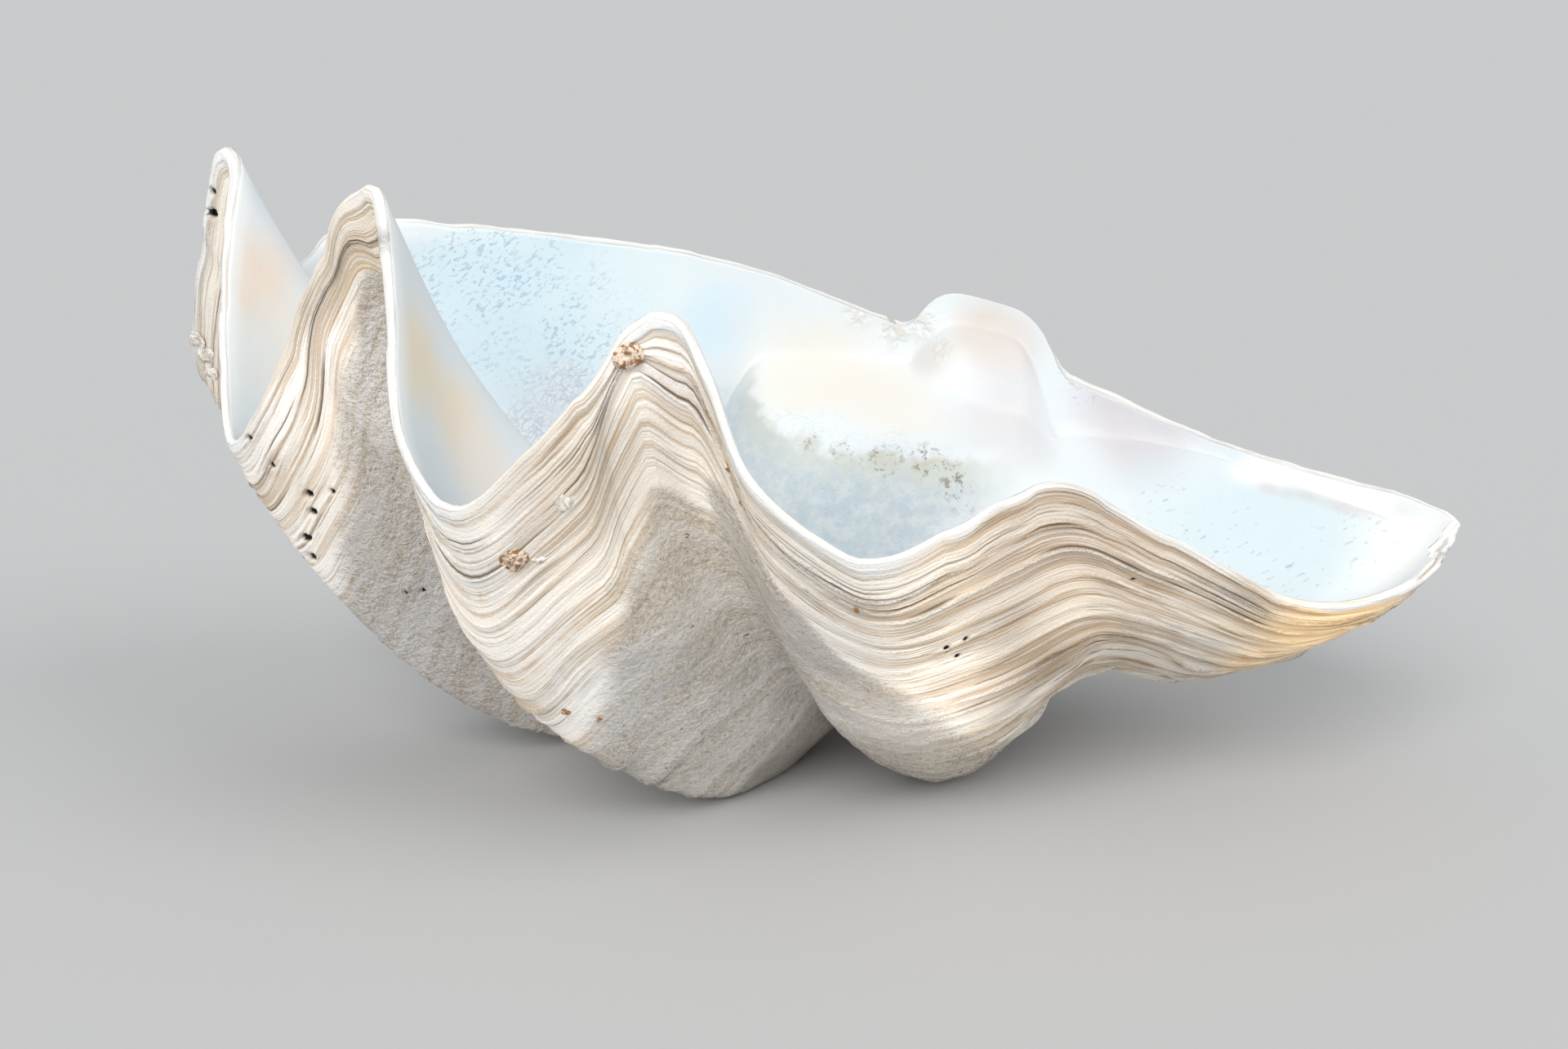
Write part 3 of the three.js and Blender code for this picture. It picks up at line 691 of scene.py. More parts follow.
# Tints that the colours of the outside are multiplied by.
PLAIN = (1.0, 1.0, 1.0)
OUTSIDE_TINTS_AND_PAINTED_LIGHT = [
    # The first tint lifts the shadowed underside of the wing's tip: partly its ochre colour, partly painted
    # light. The second darkens the shaded fold below the fourth peak: painted shade.
    (1640, 765, 70, (1.6, 1.28, 0.84), 0.9), (1280, 790, 60, (0.40, 0.34, 0.27), 0.9),
    (1280, 690, 90, (0.86, 0.81, 0.77), 0.8),
    (800, 450, 34, (1.2, 1.22, 1.28), 0.9), (1400, 720, 60, (1.12, 1.06, 1.0), 0.8),
    (1120, 890, 60, (1.65, 1.6, 1.55), 0.8),
    (700, 600, 45, (0.84, 0.80, 0.76), 0.8), (1150, 740, 36, (1.15, 1.12, 1.08), 0.8),
    (445, 480, 60, (1.34, 1.36, 1.42), 0.9), (850, 900, 110, (0.95, 1.0, 1.08), 0.6),
    (500, 790, 110, (0.98, 1.02, 1.12), 0.7), (850, 690, 55, (1.2, 1.2, 1.2), 0.8),
]

# The ragged edges of tints and spots, and the shares of the radius between which they end.
TINT_RAGGED, TINT_FROM, TINT_TO = (0.7, 0.6, 30, 41), 0.25, 1.3
SPOT_RAGGED, SPOT_FROM, SPOT_TO = (0.7, 0.6, 12, 42), 0.3, 1.3

# The white rim of the inside beside the free lip: its share of white, the distances between which it ends,
# and how much wider it is between places on the wing.
RIM_WHITE, RIM_ENDS = 0.85, (3, 20)
RIM_WIDENS, RIM_WIDE_IN, RIM_WIDE_OUT = 2.2, (27.5, 28.5), (30.3, 31)

# The hollow below the callus, darkened partly in its own blue-grey and partly as painted shade: its middle
# and half widths in plan, the shares of these and the heights between which it ends, its ragged edge, and
# how wide the edge of the callus is.
HOLLOW_AT = (-8, 38)
HOLLOW_HALF = (127, 142)
HOLLOW_ENDS, HOLLOW_TOP = (0.62, 1.12), (212, 244)
HOLLOW_RAGGED = (0.8, 0.4, 34, 43)
EDGE_WIDE = 22

# Soft spots: pixel, radius and strength. Bleached chalk is on the outside, the others on the inside.
BLEACHED = [
    # On the ribs.
    (560, 690, 40, 0.9), (600, 640, 34, 0.7), (640, 800, 40, 0.6), (725, 850, 44, 0.8), (505, 590, 30, 0.8),
    (300, 545, 36, 0.6), (1020, 800, 40, 0.7), (1100, 900, 44, 0.9), (980, 700, 26, 0.6),
    (1050, 720, 34, 0.5),
    # Along the back edge.
    (520, 285, 40, 1.0), (640, 298, 40, 1.0), (760, 318, 40, 1.0), (880, 345, 40, 1.0), (990, 372, 40, 1.0),
    # Along the back of the wing.
    (1340, 475, 40, 1.0), (1420, 520, 40, 1.0), (1510, 562, 40, 1.0), (1620, 595, 40, 1.0),
    (1720, 615, 40, 0.8),
]
INSIDE_MARKS = {
    "speckled": [
        (610, 350, 70, 1.0), (690, 420, 50, 1.0), (560, 330, 40, 0.6), (1070, 640, 60, 0.7),
        (980, 560, 50, 0.35),
    ],
    "lacy": [(648, 522, 24, 1.0), (688, 478, 22, 1.0)],
    # Stained spots; along the edge of the callus they also carry a band of painted shadow.
    "stained_and_shadowed": [
        (985, 530, 9, 0.6), (1040, 546, 11, 0.7), (1085, 556, 13, 0.9), (1130, 560, 14, 1.0),
        (1170, 585, 13, 0.9), (1185, 610, 9, 0.6), (1300, 460, 7, 0.5), (1320, 485, 7, 0.6),
    ],
    "scratched": [(1420, 600, 30, 0.7), (1490, 645, 36, 1.0), (1580, 690, 40, 0.9), (1650, 655, 40, 0.6)],
    "chalky": [(1100, 392, 14, 1.0), (1125, 402, 11, 0.9), (1150, 420, 9, 0.7), (1060, 385, 12, 0.7)],
}


def tinted(points, base, tints):
    """Colours at points: a base colour with soft ragged spots of tint."""
    colours = np.tile(base, (len(points), 1))
    ragged = varied(points, *TINT_RAGGED)
    for px, py, radius, colour, strength in tints:
        away = np.linalg.norm(points - spot_on(points, px, py), axis=1) * ragged
        share = strength * (1 - smooth(away, TINT_FROM * radius, TINT_TO * radius))
        colours += share[:, None] * (np.array(colour) - colours)
    return colours


def spotted(points, spots):
    """A value from 0 to 1 at points, high in soft ragged spots."""
    value = np.zeros(len(points))
    ragged = varied(points, *SPOT_RAGGED)
    for px, py, radius, strength in spots:
        away = np.linalg.norm(points - spot_on(points, px, py), axis=1) * ragged
        value = np.maximum(value, strength * (1 - smooth(away, SPOT_FROM * radius, SPOT_TO * radius)))
    return value


def below_callus(points):
    """How far points are out from the edge of the callus, from -1 to 1."""
    past = callus_round(points[:, 0], points[:, 1]) - CALLUS_EDGE
    return np.clip(past * CALLUS_HALF[1] / EDGE_WIDE, -1, 1)


def in_hollow(points):
    """A share from 0 to 1, high in the hollow and below its top heights, where the hollow is darkened,
    partly as painted shade.
    """
    dx = (points[:, 0] - HOLLOW_AT[0]) / HOLLOW_HALF[0]
    dy = (points[:, 1] - HOLLOW_AT[1]) / HOLLOW_HALF[1]
    away = np.hypot(dx, dy) * varied(points, *HOLLOW_RAGGED)
    return (1 - smooth(away, *HOLLOW_ENDS)) * (1 - smooth(points[:, 2], *HOLLOW_TOP))


def white_rim(inside):
    """How white the rows of the inside are beside the free lip, from 0 to 1."""
    u = places_round()[0]
    away = np.linalg.norm(inside - inside[0], axis=-1)
    free = 1 - np.clip(edge_at(MARGIN, u)[:, HINGE] * 2, 0, 1)
    wide = 1 + RIM_WIDENS * smooth(u, *RIM_WIDE_IN) * (1 - smooth(u, *RIM_WIDE_OUT))
    return RIM_WHITE * free * (1 - smooth(away / wide, *RIM_ENDS))


def new_mesh(points, faces, name):
    mesh = bpy.data.meshes.new(name)
    mesh.from_pydata((points * MM).tolist(), [], faces)
    mesh.polygons.foreach_set("use_smooth", np.ones(len(mesh.polygons), bool))
    return mesh


def add_fact(mesh, name, values):
    attribute = mesh.attributes.new(name, "FLOAT", "POINT")
    attribute.data.foreach_set("value", np.ascontiguousarray(values, np.float32))


def add_colours(mesh, name, colours):
    attribute = mesh.attributes.new(name, "FLOAT_COLOR", "POINT")
    full = np.concatenate((colours, np.ones((len(colours), 1))), axis=1)
    attribute.data.foreach_set("color", full.astype(np.float32).ravel())


def crust(place, out, radius, height):
    """Points and faces of one lumpy crust, a low dome that is sunk a little into the shell."""
    side = unit(np.cross(out, CRUST_ASKEW))
    other = np.cross(out, side)
    turn = 2 * math.pi * np.arange(CRUST_SPOKES) / CRUST_SPOKES
    across = np.linspace(1, 0, CRUST_RINGS, endpoint=False)[:, None]
    flat = side * np.cos(turn)[:, None] + other * np.sin(turn)[:, None]
    ragged = varied(place + radius * flat, *CRUST_RAGGED, CRUST_GRAIN * radius, CRUST_SEED)
    points = place + radius * across[..., None] * (flat * ragged[:, None])
    lumpy = varied(points, *LUMPY, LUMPY_GRAIN * radius, LUMPY_SEED)
    rise = height * (1 - across**2) * lumpy - CRUST_SUNK
    points = points + rise[..., None] * out
    top = place + out * height * CRUST_TOP
    i = np.arange(CRUST_SPOKES)
    after = (i + 1) % CRUST_SPOKES
    faces = quads_between(0, CRUST_SPOKES, CRUST_RINGS)
    last = (CRUST_RINGS - 1) * CRUST_SPOKES
    faces += np.stack((last + i, last + after, np.full_like(i, last + CRUST_SPOKES)), axis=1).tolist()
    return np.concatenate((points.reshape(-1, 3), top[None])), faces


def all_crusts(outer, count):
    """Points, faces and material slots of all crusts. Their points are numbered on from a count."""
    pieces = []
    faces = []
    slots = []
    for px, py, radius, height, brown in CRUSTS:
        place = spot_on(outer, px, py)
        near = outer[np.linalg.norm(outer - place, axis=1) < radius + CRUST_AROUND]
        out = np.linalg.svd(near - near.mean(axis=0))[2][2]
        out = out * np.sign(out @ (CAMERA_AT - place))
        points, more = crust(place, out, radius, height)
        pieces.append(points)
        faces += [[count + k for k in face] for face in more]
        slots += [BROWN_SLOT if brown else PALE_SLOT] * len(more)
        count += len(points)
    return np.concatenate(pieces), faces, slots


def skin_slots(row_count, outer_rows):
    """Material slots of the faces of the skin, in the order of shell_faces."""
    inside = np.arange(row_count - 1) >= outer_rows
    quads = np.repeat(np.where(inside, INSIDE_SLOT, OUTSIDE_SLOT), PLACES).tolist()
    return quads + [OUTSIDE_SLOT] * PLACES + [INSIDE_SLOT] * PLACES


def add_looks(mesh, outer, inner, rim, added):
    """Tints and marks at the points of the outside, the inside and the crusts."""
    no_outer = np.zeros(len(outer))
    no_inner = np.zeros(len(inner))
    outer_colours = tinted(outer, PLAIN, OUTSIDE_TINTS_AND_PAINTED_LIGHT)
    inner_colours = tinted(inner, WHITE, INSIDE_TINTS_AND_PAINTED_LIGHT)
    inner_colours += rim[:, None] * (LIP_COLOUR - inner_colours)
    add_colours(mesh, "tint", np.concatenate((outer_colours, inner_colours, np.ones((len(added), 3)))))
    add_fact(mesh, "bleached", np.concatenate((spotted(outer, BLEACHED), no_inner, added)))
    for name, spots in INSIDE_MARKS.items():
        add_fact(mesh, name, np.concatenate((no_outer, spotted(inner, spots), added)))
    add_fact(mesh, "below", np.concatenate((no_outer, below_callus(inner), added)))
    add_fact(mesh, "hollow", np.concatenate((no_outer, in_hollow(inner), added)))


def make_shell(materials):
    """The shell's mesh, with its facts and colours at each point and a material for each side."""
    rings, facts, rows = shell_points()
    skin = np.concatenate((BEAK[None], rings.reshape(-1, 3), raised(FLOOR[None], 1)))
    outer_rows = rows["outside"] + rows["lip"]
    split = 1 + outer_rows * PLACES
    outer = skin[:split]
    crusts, crust_faces, crust_slots = all_crusts(outer, len(skin))
    added = np.zeros(len(crusts))

    faces = shell_faces(PLACES, len(rings)) + crust_faces
    mesh = new_mesh(np.concatenate((skin, crusts)), faces, "shell")
    for material in materials:
        mesh.materials.append(material)
    mesh.polygons.foreach_set("material_index", skin_slots(len(rings), outer_rows) + crust_slots)
    for name, values in facts.items():
        flat = values.ravel()
        add_fact(mesh, name, np.concatenate((flat[:1], flat, flat[-1:], added)))
    rim = np.append(white_rim(rings[outer_rows:]), 0)
    add_looks(mesh, outer, skin[split:], rim, added)
    add_fact(mesh, "pit", np.zeros(len(mesh.vertices)))
    bore_holes(mesh, outer)
    return bpy.data.objects.new("shell_surface", mesh)


def finer_patches(fine, spots):
    """Faces of the outside round the spots divided into finer ones."""
    centres = np.array([face.calc_center_median() for face in fine.faces]) / MM
    fine.faces.ensure_lookup_table()
    edges = set()
    for place, radius, depth in spots:
        for k in np.flatnonzero(np.linalg.norm(centres - place, axis=1) < radius + PIT_PATCH):
            if fine.faces[k].material_index == OUTSIDE_SLOT:
                edges.update(fine.faces[k].edges)
    bmesh.ops.subdivide_edges(fine, edges=list(edges), cuts=PIT_CUTS, use_grid_fill=True)
    bmesh.ops.triangulate(fine, faces=[face for face in fine.faces if len(face.verts) > 4])
    fine.normal_update()


def bore_holes(mesh, points):
    """Bore holes, in patches of finer mesh on the outside."""
    spots = [(spot_on(points, px, py), radius, depth) for px, py, radius, depth in PITS]
    fine = bmesh.new()
    fine.from_mesh(mesh)
    finer_patches(fine, spots)
    places = np.array([vert.co for vert in fine.verts]) / MM
    fine.verts.ensure_lookup_table()
    mask = fine.verts.layers.float["pit"]
    for place, radius, depth in spots:
        wobble = varied(places, *PIT_RAGGED, radius * PIT_GRAIN, PIT_SEED)
        away = np.linalg.norm(places - place, axis=1) * wobble / radius
        near = np.flatnonzero(away < PIT_REACH)
        out = unit(np.sum([fine.verts[k].normal for k in near], axis=0))
        for k in near:
            share = 1 - float(smooth(away[k], *PIT_EDGE))
            vert = fine.verts[k]
            vert[mask] = max(vert[mask], share)
            for axis in range(3):
                vert.co[axis] -= out[axis] * depth * share * MM
    fine.to_mesh(mesh)
    fine.free()


class Nodes:
    """A short way to write a material's nodes."""

    def __init__(self, name):
        self.material = bpy.data.materials.new(name)
        self.material.use_nodes = True
        self.tree = self.material.node_tree
        self.shader = self.tree.nodes["Principled BSDF"]

    def add(self, kind, inputs=None, **settings):
        node = self.tree.nodes.new("ShaderNode" + kind)
        for key, value in settings.items():
            setattr(node, key, value)
        for key, value in (inputs or {}).items():
            self.put(node.inputs[key], value)
        return node

    def put(self, socket, value):
        if isinstance(value, bpy.types.NodeSocket):
            self.tree.links.new(value, socket)
        else:
            socket.default_value = value

    def fact(self, name):
        return self.add("Attribute", attribute_name=name).outputs["Fac"]

    def colours(self, name):
        return self.add("Attribute", attribute_name=name).outputs["Color"]

    def math(self, operation, a, b=0.0):
        return self.add("Math", {0: a, 1: b}, operation=operation).outputs[0]

    def plus(self, a, b):
        return self.math("ADD", a, b)

    def times(self, a, b):
        return self.math("MULTIPLY", a, b)

    def spread(self, value, low, high, to_low=0.0, to_high=1.0):
        """A value between low and high spread smoothly over another range."""
        keys = {"Value": value, "From Min": low, "From Max": high, "To Min": to_low, "To Max": to_high}
        return self.add("MapRange", keys, interpolation_type="SMOOTHSTEP").outputs["Result"]

    def noise(self, vector, scale, detail=2.0, roughness=0.5):
        keys = {"Vector": vector, "Scale": scale, "Detail": detail, "Roughness": roughness}
        return self.add("TexNoise", keys).outputs["Fac"]

    def strokes(self, vector, turn, size, roughness=0.5):
        """Noise drawn out into strokes of a size in metres, turned by angles."""
        keys = {"Vector": vector, "Rotation": turn, "Scale": size}
        drawn_out = self.add("Mapping", keys, vector_type="TEXTURE").outputs[0]
        return self.noise(drawn_out, 1, 2, roughness)

    def mix(self, share, a, b, blend="MIX"):
        node = self.add("Mix", data_type="RGBA", blend_type=blend)
        self.put(node.inputs[0], share)
        self.put(node.inputs[6], a if isinstance(a, bpy.types.NodeSocket) else (*a, 1))
        self.put(node.inputs[7], b if isinstance(b, bpy.types.NodeSocket) else (*b, 1))
        return node.outputs[2]

    def set(self, **values):
        for key, value in values.items():
            self.put(self.shader.inputs[key.replace("_", " ")], value)


# Colours of the outside.
TAN, CREAM = (0.66, 0.54, 0.41), (0.93, 0.87, 0.78)
PALE_LINE, BROWN_SHADE_LINE = (0.95, 0.91, 0.85), (0.36, 0.26, 0.16)
SAND, PALE_SAND, WRINKLE_SHADE = (0.74, 0.65, 0.53), (1.0, 0.94, 0.85), (0.50, 0.41, 0.30)
SAND_BAND, SAND_BLOTCH, SAND_SPECK = (0.98, 0.95, 0.91), (0.72, 0.65, 0.55), (0.20, 0.15, 0.10)
# The crevice colour is painted shade in crevices, creases and the split of the broken tip; the pit colour is
# painted shade in the bore holes.
CHALK, CREVICE_SHADE, PIT_SHADE = (0.86, 0.85, 0.83), (0.15, 0.10, 0.06), (0.025, 0.02, 0.016)

# Textures of the outside: scale, detail and roughness. Scales are spots per metre, and along the growth
# lines spots per millimetre.
LINE_WOBBLE, WOBBLE_HEIGHT, LINE_DRAWN_OUT = (70, 2), 1.6, 0.03
FINE_LINES, BROAD_LINES = (0.55, 2), (0.09, 2)
SAND_WRINKLES, SAND_GRAINS, BLOTCHES = (220, 5, 0.7), (520, 3, 0.65), (38, 3)
SPECKS, CHALK_PATCHES = (260, 1), (120, 3)
OUTSIDE_BUMP = {"Strength": 0.9, "Distance": 0.0026}


def layered_colour(n, fine, tone):
    """Cream and tan layers with pale lines, and brown lines on the low parts of the line bump as painted
    shade.
    """
    colour = n.mix(n.spread(tone, 0.34, 0.64), TAN, CREAM)
    colour = n.mix(n.spread(fine, 0.53, 0.64, 0, 0.8), colour, PALE_LINE)
    return n.mix(n.spread(fine, 0.44, 0.32, 0, 0.65), colour, BROWN_SHADE_LINE)


def sandy_colour(n, place, tone, wrinkles, grains, blotches):
    """Grey sand darkened in the hollows of the wrinkles as painted shade, with pale bands, blotches and
    specks.
    """
    colour = n.mix(n.spread(grains, 0.36, 0.62), SAND, PALE_SAND)
    colour = n.mix(n.spread(wrinkles, 0.48, 0.34, 0, 0.7), colour, WRINKLE_SHADE)
    colour = n.mix(n.spread(tone, 0.42, 0.62, 0, 0.45), colour, SAND_BAND)
    colour = n.mix(n.spread(blotches, 0.52, 0.70, 0, 0.35), colour, SAND_BLOTCH)
    return n.mix(n.spread(n.noise(place, *SPECKS), 0.73, 0.78, 0, 0.7), colour, SAND_SPECK)


def outside_material():
    """Chalky growth layers in cream and tan, worn to grey sandy ribs."""
    n = Nodes("chalky_outside")
    place = n.add("TexCoord").outputs["Object"]
    line = n.plus(n.fact("growth"), n.times(n.noise(place, *LINE_WOBBLE), WOBBLE_HEIGHT))
    lines = n.add("CombineXYZ", {"X": n.times(n.fact("around"), LINE_DRAWN_OUT), "Y": line}).outputs[0]
    fine = n.noise(lines, *FINE_LINES)
    tone = n.plus(n.times(n.noise(lines, *BROAD_LINES), 0.65), n.times(n.fact("tone"), 0.35))
    wrinkles = n.noise(place, *SAND_WRINKLES)
    grains = n.noise(place, *SAND_GRAINS)
    blotches = n.noise(place, *BLOTCHES)

    worn = n.spread(n.plus(n.fact("eroded"), n.times(blotches, 0.3)), 0.4, 0.9)
    sandy = sandy_colour(n, place, tone, wrinkles, grains, blotches)
    colour = n.mix(n.times(worn, 0.84), layered_colour(n, fine, tone), sandy)
    chalk = n.times(n.fact("bleached"), n.spread(n.noise(place, *CHALK_PATCHES), 0.35, 0.6, 0.25, 0.85))
    colour = n.mix(chalk, colour, CHALK)
    colour = n.mix(1.0, colour, n.colours("tint"), "MULTIPLY")
    lip = n.times(n.fact("white_lip"), n.spread(fine, 0.38, 0.52, 0.55, 0.95))
    colour = n.mix(lip, colour, LIP_COLOUR)
    # Painted shade in the crevices at the foot of the ledges, in the creases and in the split of the broken
    # tip.
    colour = n.mix(n.spread(n.fact("crevice_shade"), 0.35, 0.95, 0, 0.92), colour, CREVICE_SHADE)
    # Bore holes darkened almost to black: painted shade inside the holes.
    colour = n.mix(n.spread(n.fact("pit"), 0.3, 0.8), colour, PIT_SHADE)

    rough = n.spread(grains, 0.2, 0.8, 0.72, 0.95)
    layer_height = n.times(n.times(fine, 0.5), n.math("SUBTRACT", 1.0, worn))
    height = n.plus(layer_height, n.times(wrinkles, n.times(worn, 4.4)))
    height = n.plus(height, n.times(grains, 0.25))
    bump = n.add("Bump", {"Height": height, **OUTSIDE_BUMP})
    n.set(Base_Color=colour, Roughness=rough, Normal=bump.outputs[0], Specular_IOR_Level=0.25)
    return n.material


# Colours of the inside.
CLOUD_BLUE, SPECK_BLUE, SCRATCH_GREY = (0.62, 0.70, 0.75), (0.36, 0.50, 0.61), (0.36, 0.42, 0.47)
PALE_LACE, LACE_LINE = (0.65, 0.69, 0.73), (0.46, 0.51, 0.57)
# The hollow colours are partly its own blue-grey and partly painted shade.
BLUE_HOLLOW_SHADE, PALE_HOLLOW_SHADE, OLIVE_EDGE_SHADOW = (0.40, 0.47, 0.51), (0.52, 0.56, 0.56), (0.47, 0.49, 0.43)
# The rim colour is a band along the callus edge, partly stain and partly painted shadow; the stain colour is
# for the dabbed stains.
STAIN_AND_SHADOW_RIM, STAIN, CHALK_TAN = (0.40, 0.37, 0.27), (0.18, 0.15, 0.09), (0.62, 0.55, 0.46)

# Textures of the inside: scale, detail and roughness, and the turn and size of strokes.
CLOUDS, GAPS, EDGE_WAVES, HOLLOW_MOTTLE = (26, 4, 0.6), (40, 2), (90, 3), (110, 5, 0.7)
LACE_UNEVEN, LACE_SHIFT, LACE_CELLS = (160, 2), 0.004, 210.0
DABS, CHALK_CRUMBS = (170, 5, 0.75), (160, 3)
SPECK_TURN, SPECK_SIZE, SPECK_ROUGHNESS = (0, -0.6, 0), (1 / 230, 1 / 420, 1 / 420), 0.6
SCRATCH_TURN, SCRATCH_SIZE = (0, 0, 0.62), (1 / 45, 1 / 330, 1 / 330)
INSIDE_BUMP = {"Strength": 0.4, "Distance": 0.003}


def with_lace(n, place, colour):
    """A colour with the lacy patch of thin lines between small cells."""
    colour = n.mix(n.times(n.fact("lacy"), 0.6), colour, PALE_LACE)
    shift = n.spread(n.noise(place, *LACE_UNEVEN), 0, 1, -LACE_SHIFT, LACE_SHIFT)
    uneven = n.add("VectorMath", {0: place, 1: shift}).outputs[0]
    cells = n.add("TexVoronoi", {"Vector": uneven, "Scale": LACE_CELLS}, feature="DISTANCE_TO_EDGE")
    lines = n.times(n.spread(cells.outputs["Distance"], 0.16, 0.03, 0, 0.75), n.fact("lacy"))
    return n.mix(lines, colour, LACE_LINE)


def with_hollow(n, place, colour, edge):
    """A colour with the hollow darkened to mottled blue-grey, partly its own colour and partly painted
    shade, with olive painted shadow at the edge of the callus.
    """
    hollow = n.times(n.spread(edge, -0.06, 0.14, 0, 0.75), n.fact("hollow"))
    hollow_shade = n.mix(n.spread(n.noise(place, *HOLLOW_MOTTLE), 0.40, 0.64), BLUE_HOLLOW_SHADE, PALE_HOLLOW_SHADE)
    # Olive next to the edge of the callus: painted shadow below its overhang.
    return n.mix(hollow, colour, n.mix(n.spread(edge, 0.0, 0.5), OLIVE_EDGE_SHADOW, hollow_shade))


def with_stains_and_shadow(n, place, colour, edge):
    """A colour with a band along the edge of the callus, partly stain and partly painted shadow, and stains
    dabbed on it.
    """
    rim = n.times(n.fact("stained_and_shadowed"), n.spread(n.math("ABSOLUTE", edge), 0.2, 0.0, 0, 0.6))
    colour = n.mix(rim, colour, STAIN_AND_SHADOW_RIM)
    dirt = n.times(n.fact("stained_and_shadowed"), n.spread(n.noise(place, *DABS), 0.53, 0.61, 0, 0.95))
    return n.mix(dirt, colour, STAIN)


def inside_material():
    """Smooth porcelain in white and pale blue, the faint blue cast of the white partly painted sky light,
    with peach and grey tints, the grey partly painted shade in the hollow, speckles, and stains with a band
    of painted shadow along the callus edge.
    """
    n = Nodes("porcelain_inside")
    place = n.add("TexCoord").outputs["Object"]
    clouds = n.noise(place, *CLOUDS)
    colour = n.mix(n.spread(clouds, 0.5, 0.75, 0, 0.25), n.colours("tint"), CLOUD_BLUE)
    specks = n.strokes(place, SPECK_TURN, SPECK_SIZE, SPECK_ROUGHNESS)
    gaps = n.times(n.spread(n.noise(place, *GAPS), 0.36, 0.52), n.fact("speckled"))
    dots = n.times(n.spread(specks, 0.53, 0.64, 0, 0.8), gaps)
    colour = n.mix(dots, colour, SPECK_BLUE)
    colour = with_lace(n, place, colour)
    waves = n.times(n.math("SUBTRACT", n.noise(place, *EDGE_WAVES), 0.5), 0.5)
    edge = n.plus(n.fact("below"), waves)
    colour = with_hollow(n, place, colour, edge)
    scratch = n.spread(n.strokes(place, SCRATCH_TURN, SCRATCH_SIZE), 0.63, 0.70, 0, 0.75)
    colour = n.mix(n.times(n.fact("scratched"), scratch), colour, SCRATCH_GREY)
    colour = with_stains_and_shadow(n, place, colour, edge)
    chalk = n.times(n.fact("chalky"), n.spread(n.noise(place, *CHALK_CRUMBS), 0.40, 0.58))
    colour = n.mix(n.times(chalk, 0.6), colour, CHALK_TAN)

    rough = n.spread(clouds, 0.3, 0.7, 0.36, 0.55)
    height = n.plus(n.times(clouds, 0.6), n.times(dots, -0.2))
    height = n.plus(height, n.times(chalk, 0.8))
    bump = n.add("Bump", {"Height": height, **INSIDE_BUMP})
    n.set(Base_Color=colour, Roughness=rough, Normal=bump.outputs[0], Specular_IOR_Level=0.4)
    return n.material


# Crusts: texture, bump and the dark and pale colours of the brown and the pale ones.
FLECKS = (330, 3, 0.6)
CRUST_BUMP = {"Strength": 0.8, "Distance": 0.002}
BROWN_FLECKS = (0.30, 0.15, 0.07), (0.86, 0.74, 0.60)
PALE_FLECKS = (0.58, 0.53, 0.46), (0.90, 0.87, 0.82)


def crust_material(name, dark, pale):
    """Crust in dark and pale flecks."""
    n = Nodes(name)
    place = n.add("TexCoord").outputs["Object"]
    flecks = n.noise(place, *FLECKS)
    colour = n.mix(n.spread(flecks, 0.42, 0.60), dark, pale)
    bump = n.add("Bump", {"Height": flecks, **CRUST_BUMP})
    n.set(Base_Color=colour, Roughness=0.85, Normal=bump.outputs[0], Specular_IOR_Level=0.25)
    return n.material


# The light: an even pale world and two soft suns from the front and above, a strong one from a little to
# the left and a weak one from the right, each with the way to it and its strength. The floor's colour is
# the one that makes its far end as bright as the world behind it.
WORLD_COLOUR = np.array((0.98, 0.99, 1.0))
WORLD_STRENGTH = 0.6
SUN_COLOUR = np.array((1.0, 0.98, 0.95))
SUN_SOFTNESS = math.radians(35)
SUNS = {"key": ((-0.25, -0.85, 0.6), 2.1), "fill": ((0.7, -0.45, 0.6), 0.9)}
FLOOR_HALF = 40.0


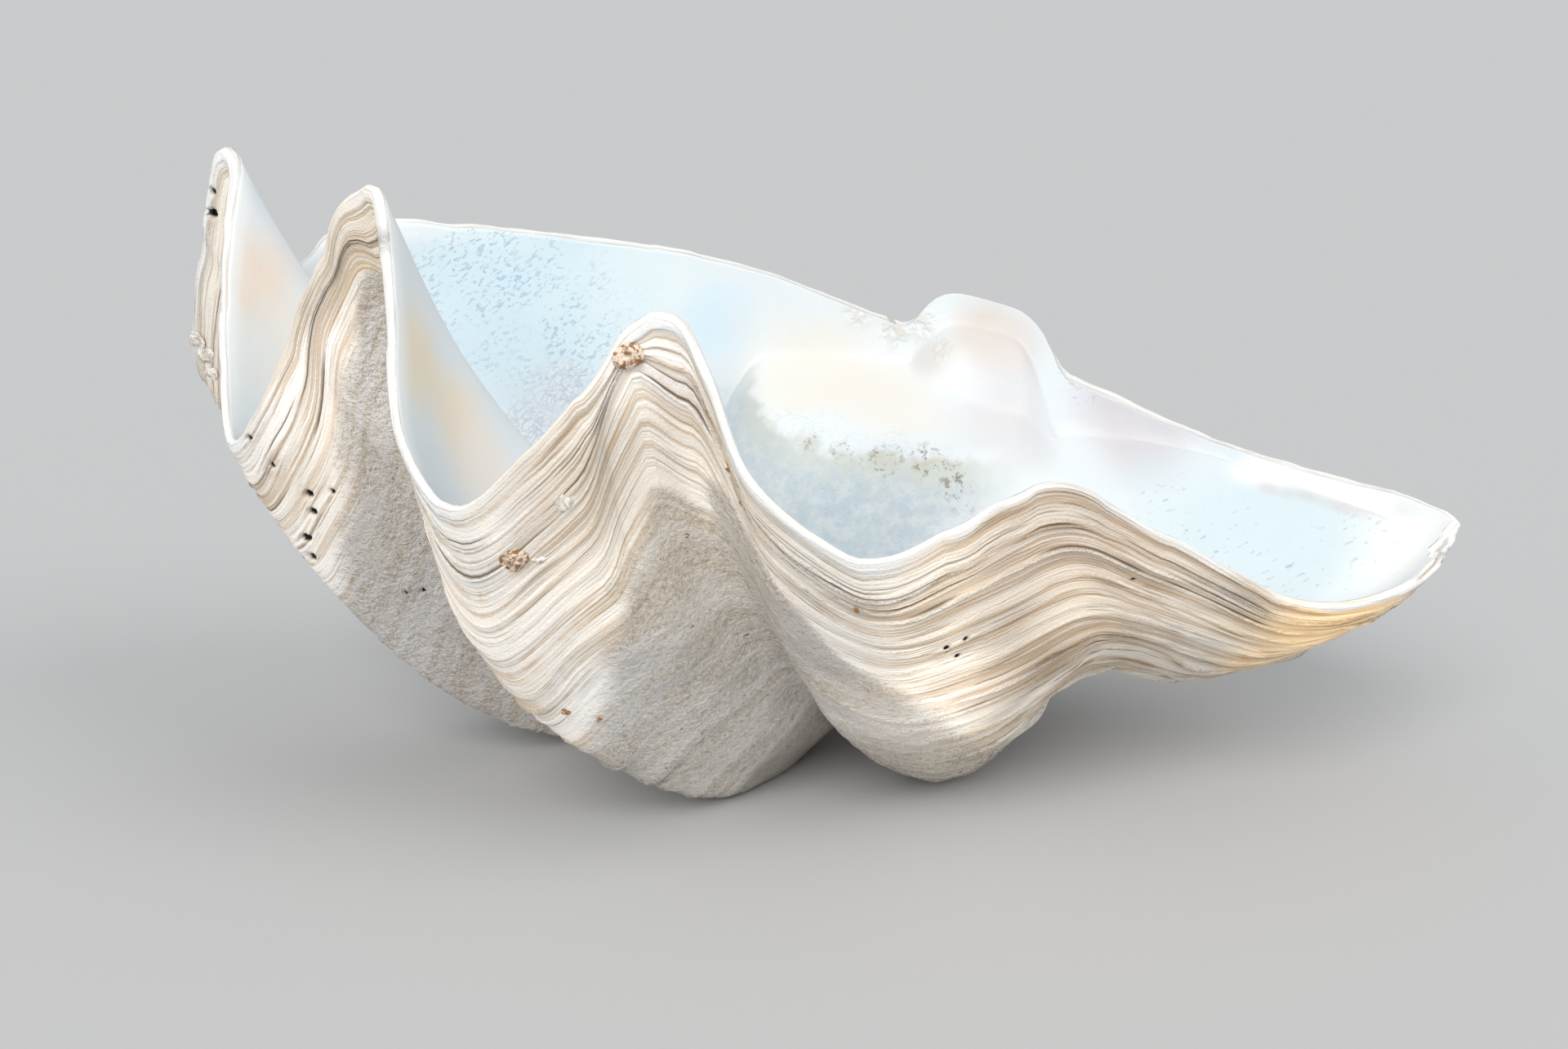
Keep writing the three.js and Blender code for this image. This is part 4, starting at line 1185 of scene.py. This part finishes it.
def floor_colour():
    sun_share = sum(strength * unit(np.array(way))[2] for way, strength in SUNS.values()) / math.pi
    background = WORLD_COLOUR * WORLD_STRENGTH
    return background / (background + SUN_COLOUR * sun_share)


def make_floor():
    """A plain pale floor at the resting level."""
    half = FLOOR_HALF
    corners = [(-half, -half, 0), (half, -half, 0), (half, half, 0), (-half, half, 0)]
    mesh = bpy.data.meshes.new("floor")
    mesh.from_pydata(corners, [], [(0, 1, 2, 3)])
    n = Nodes("pale_floor")
    n.set(Base_Color=(*floor_colour(), 1), Roughness=1.0, Specular_IOR_Level=0.0)
    mesh.materials.append(n.material)
    return bpy.data.objects.new("floor", mesh)


def light_scene():
    """Soft daylight from the front and above."""
    world = bpy.data.worlds.new("studio")
    world.use_nodes = True
    background = world.node_tree.nodes["Background"]
    background.inputs["Color"].default_value = (*WORLD_COLOUR, 1)
    background.inputs["Strength"].default_value = WORLD_STRENGTH
    bpy.context.scene.world = world
    for name, ((x, y, z), strength) in SUNS.items():
        sun = bpy.data.lights.new(name, "SUN")
        sun.energy = strength
        sun.angle = SUN_SOFTNESS
        sun.color = SUN_COLOUR
        holder = bpy.data.objects.new(name, sun)
        holder.rotation_euler = (math.atan2(math.hypot(x, y), z), 0, math.atan2(y, x) + math.pi / 2)
        bpy.context.scene.collection.objects.link(holder)
    bpy.context.scene.view_settings.view_transform = "Standard"


def add_camera():
    data = bpy.data.cameras.new("camera")
    data.sensor_width = SENSOR_WIDTH
    data.lens = SENSOR_WIDTH * FOCAL_PIXELS / PHOTO_WIDTH
    camera = bpy.data.objects.new("camera", data)
    camera.location = CAMERA_AT * MM
    camera.rotation_euler = (math.pi / 2 - CAMERA_DOWN, 0, 0)
    bpy.context.scene.collection.objects.link(camera)
    bpy.context.scene.camera = camera


add_camera()
light_scene()

floor = make_floor()
bpy.context.scene.collection.objects.link(floor)

brown_crust = crust_material("brown_crust", *BROWN_FLECKS)
pale_crust = crust_material("pale_crust", *PALE_FLECKS)
shell = make_shell([outside_material(), inside_material(), brown_crust, pale_crust])
bpy.context.scene.collection.objects.link(shell)
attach(shell, "root")
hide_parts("shell")
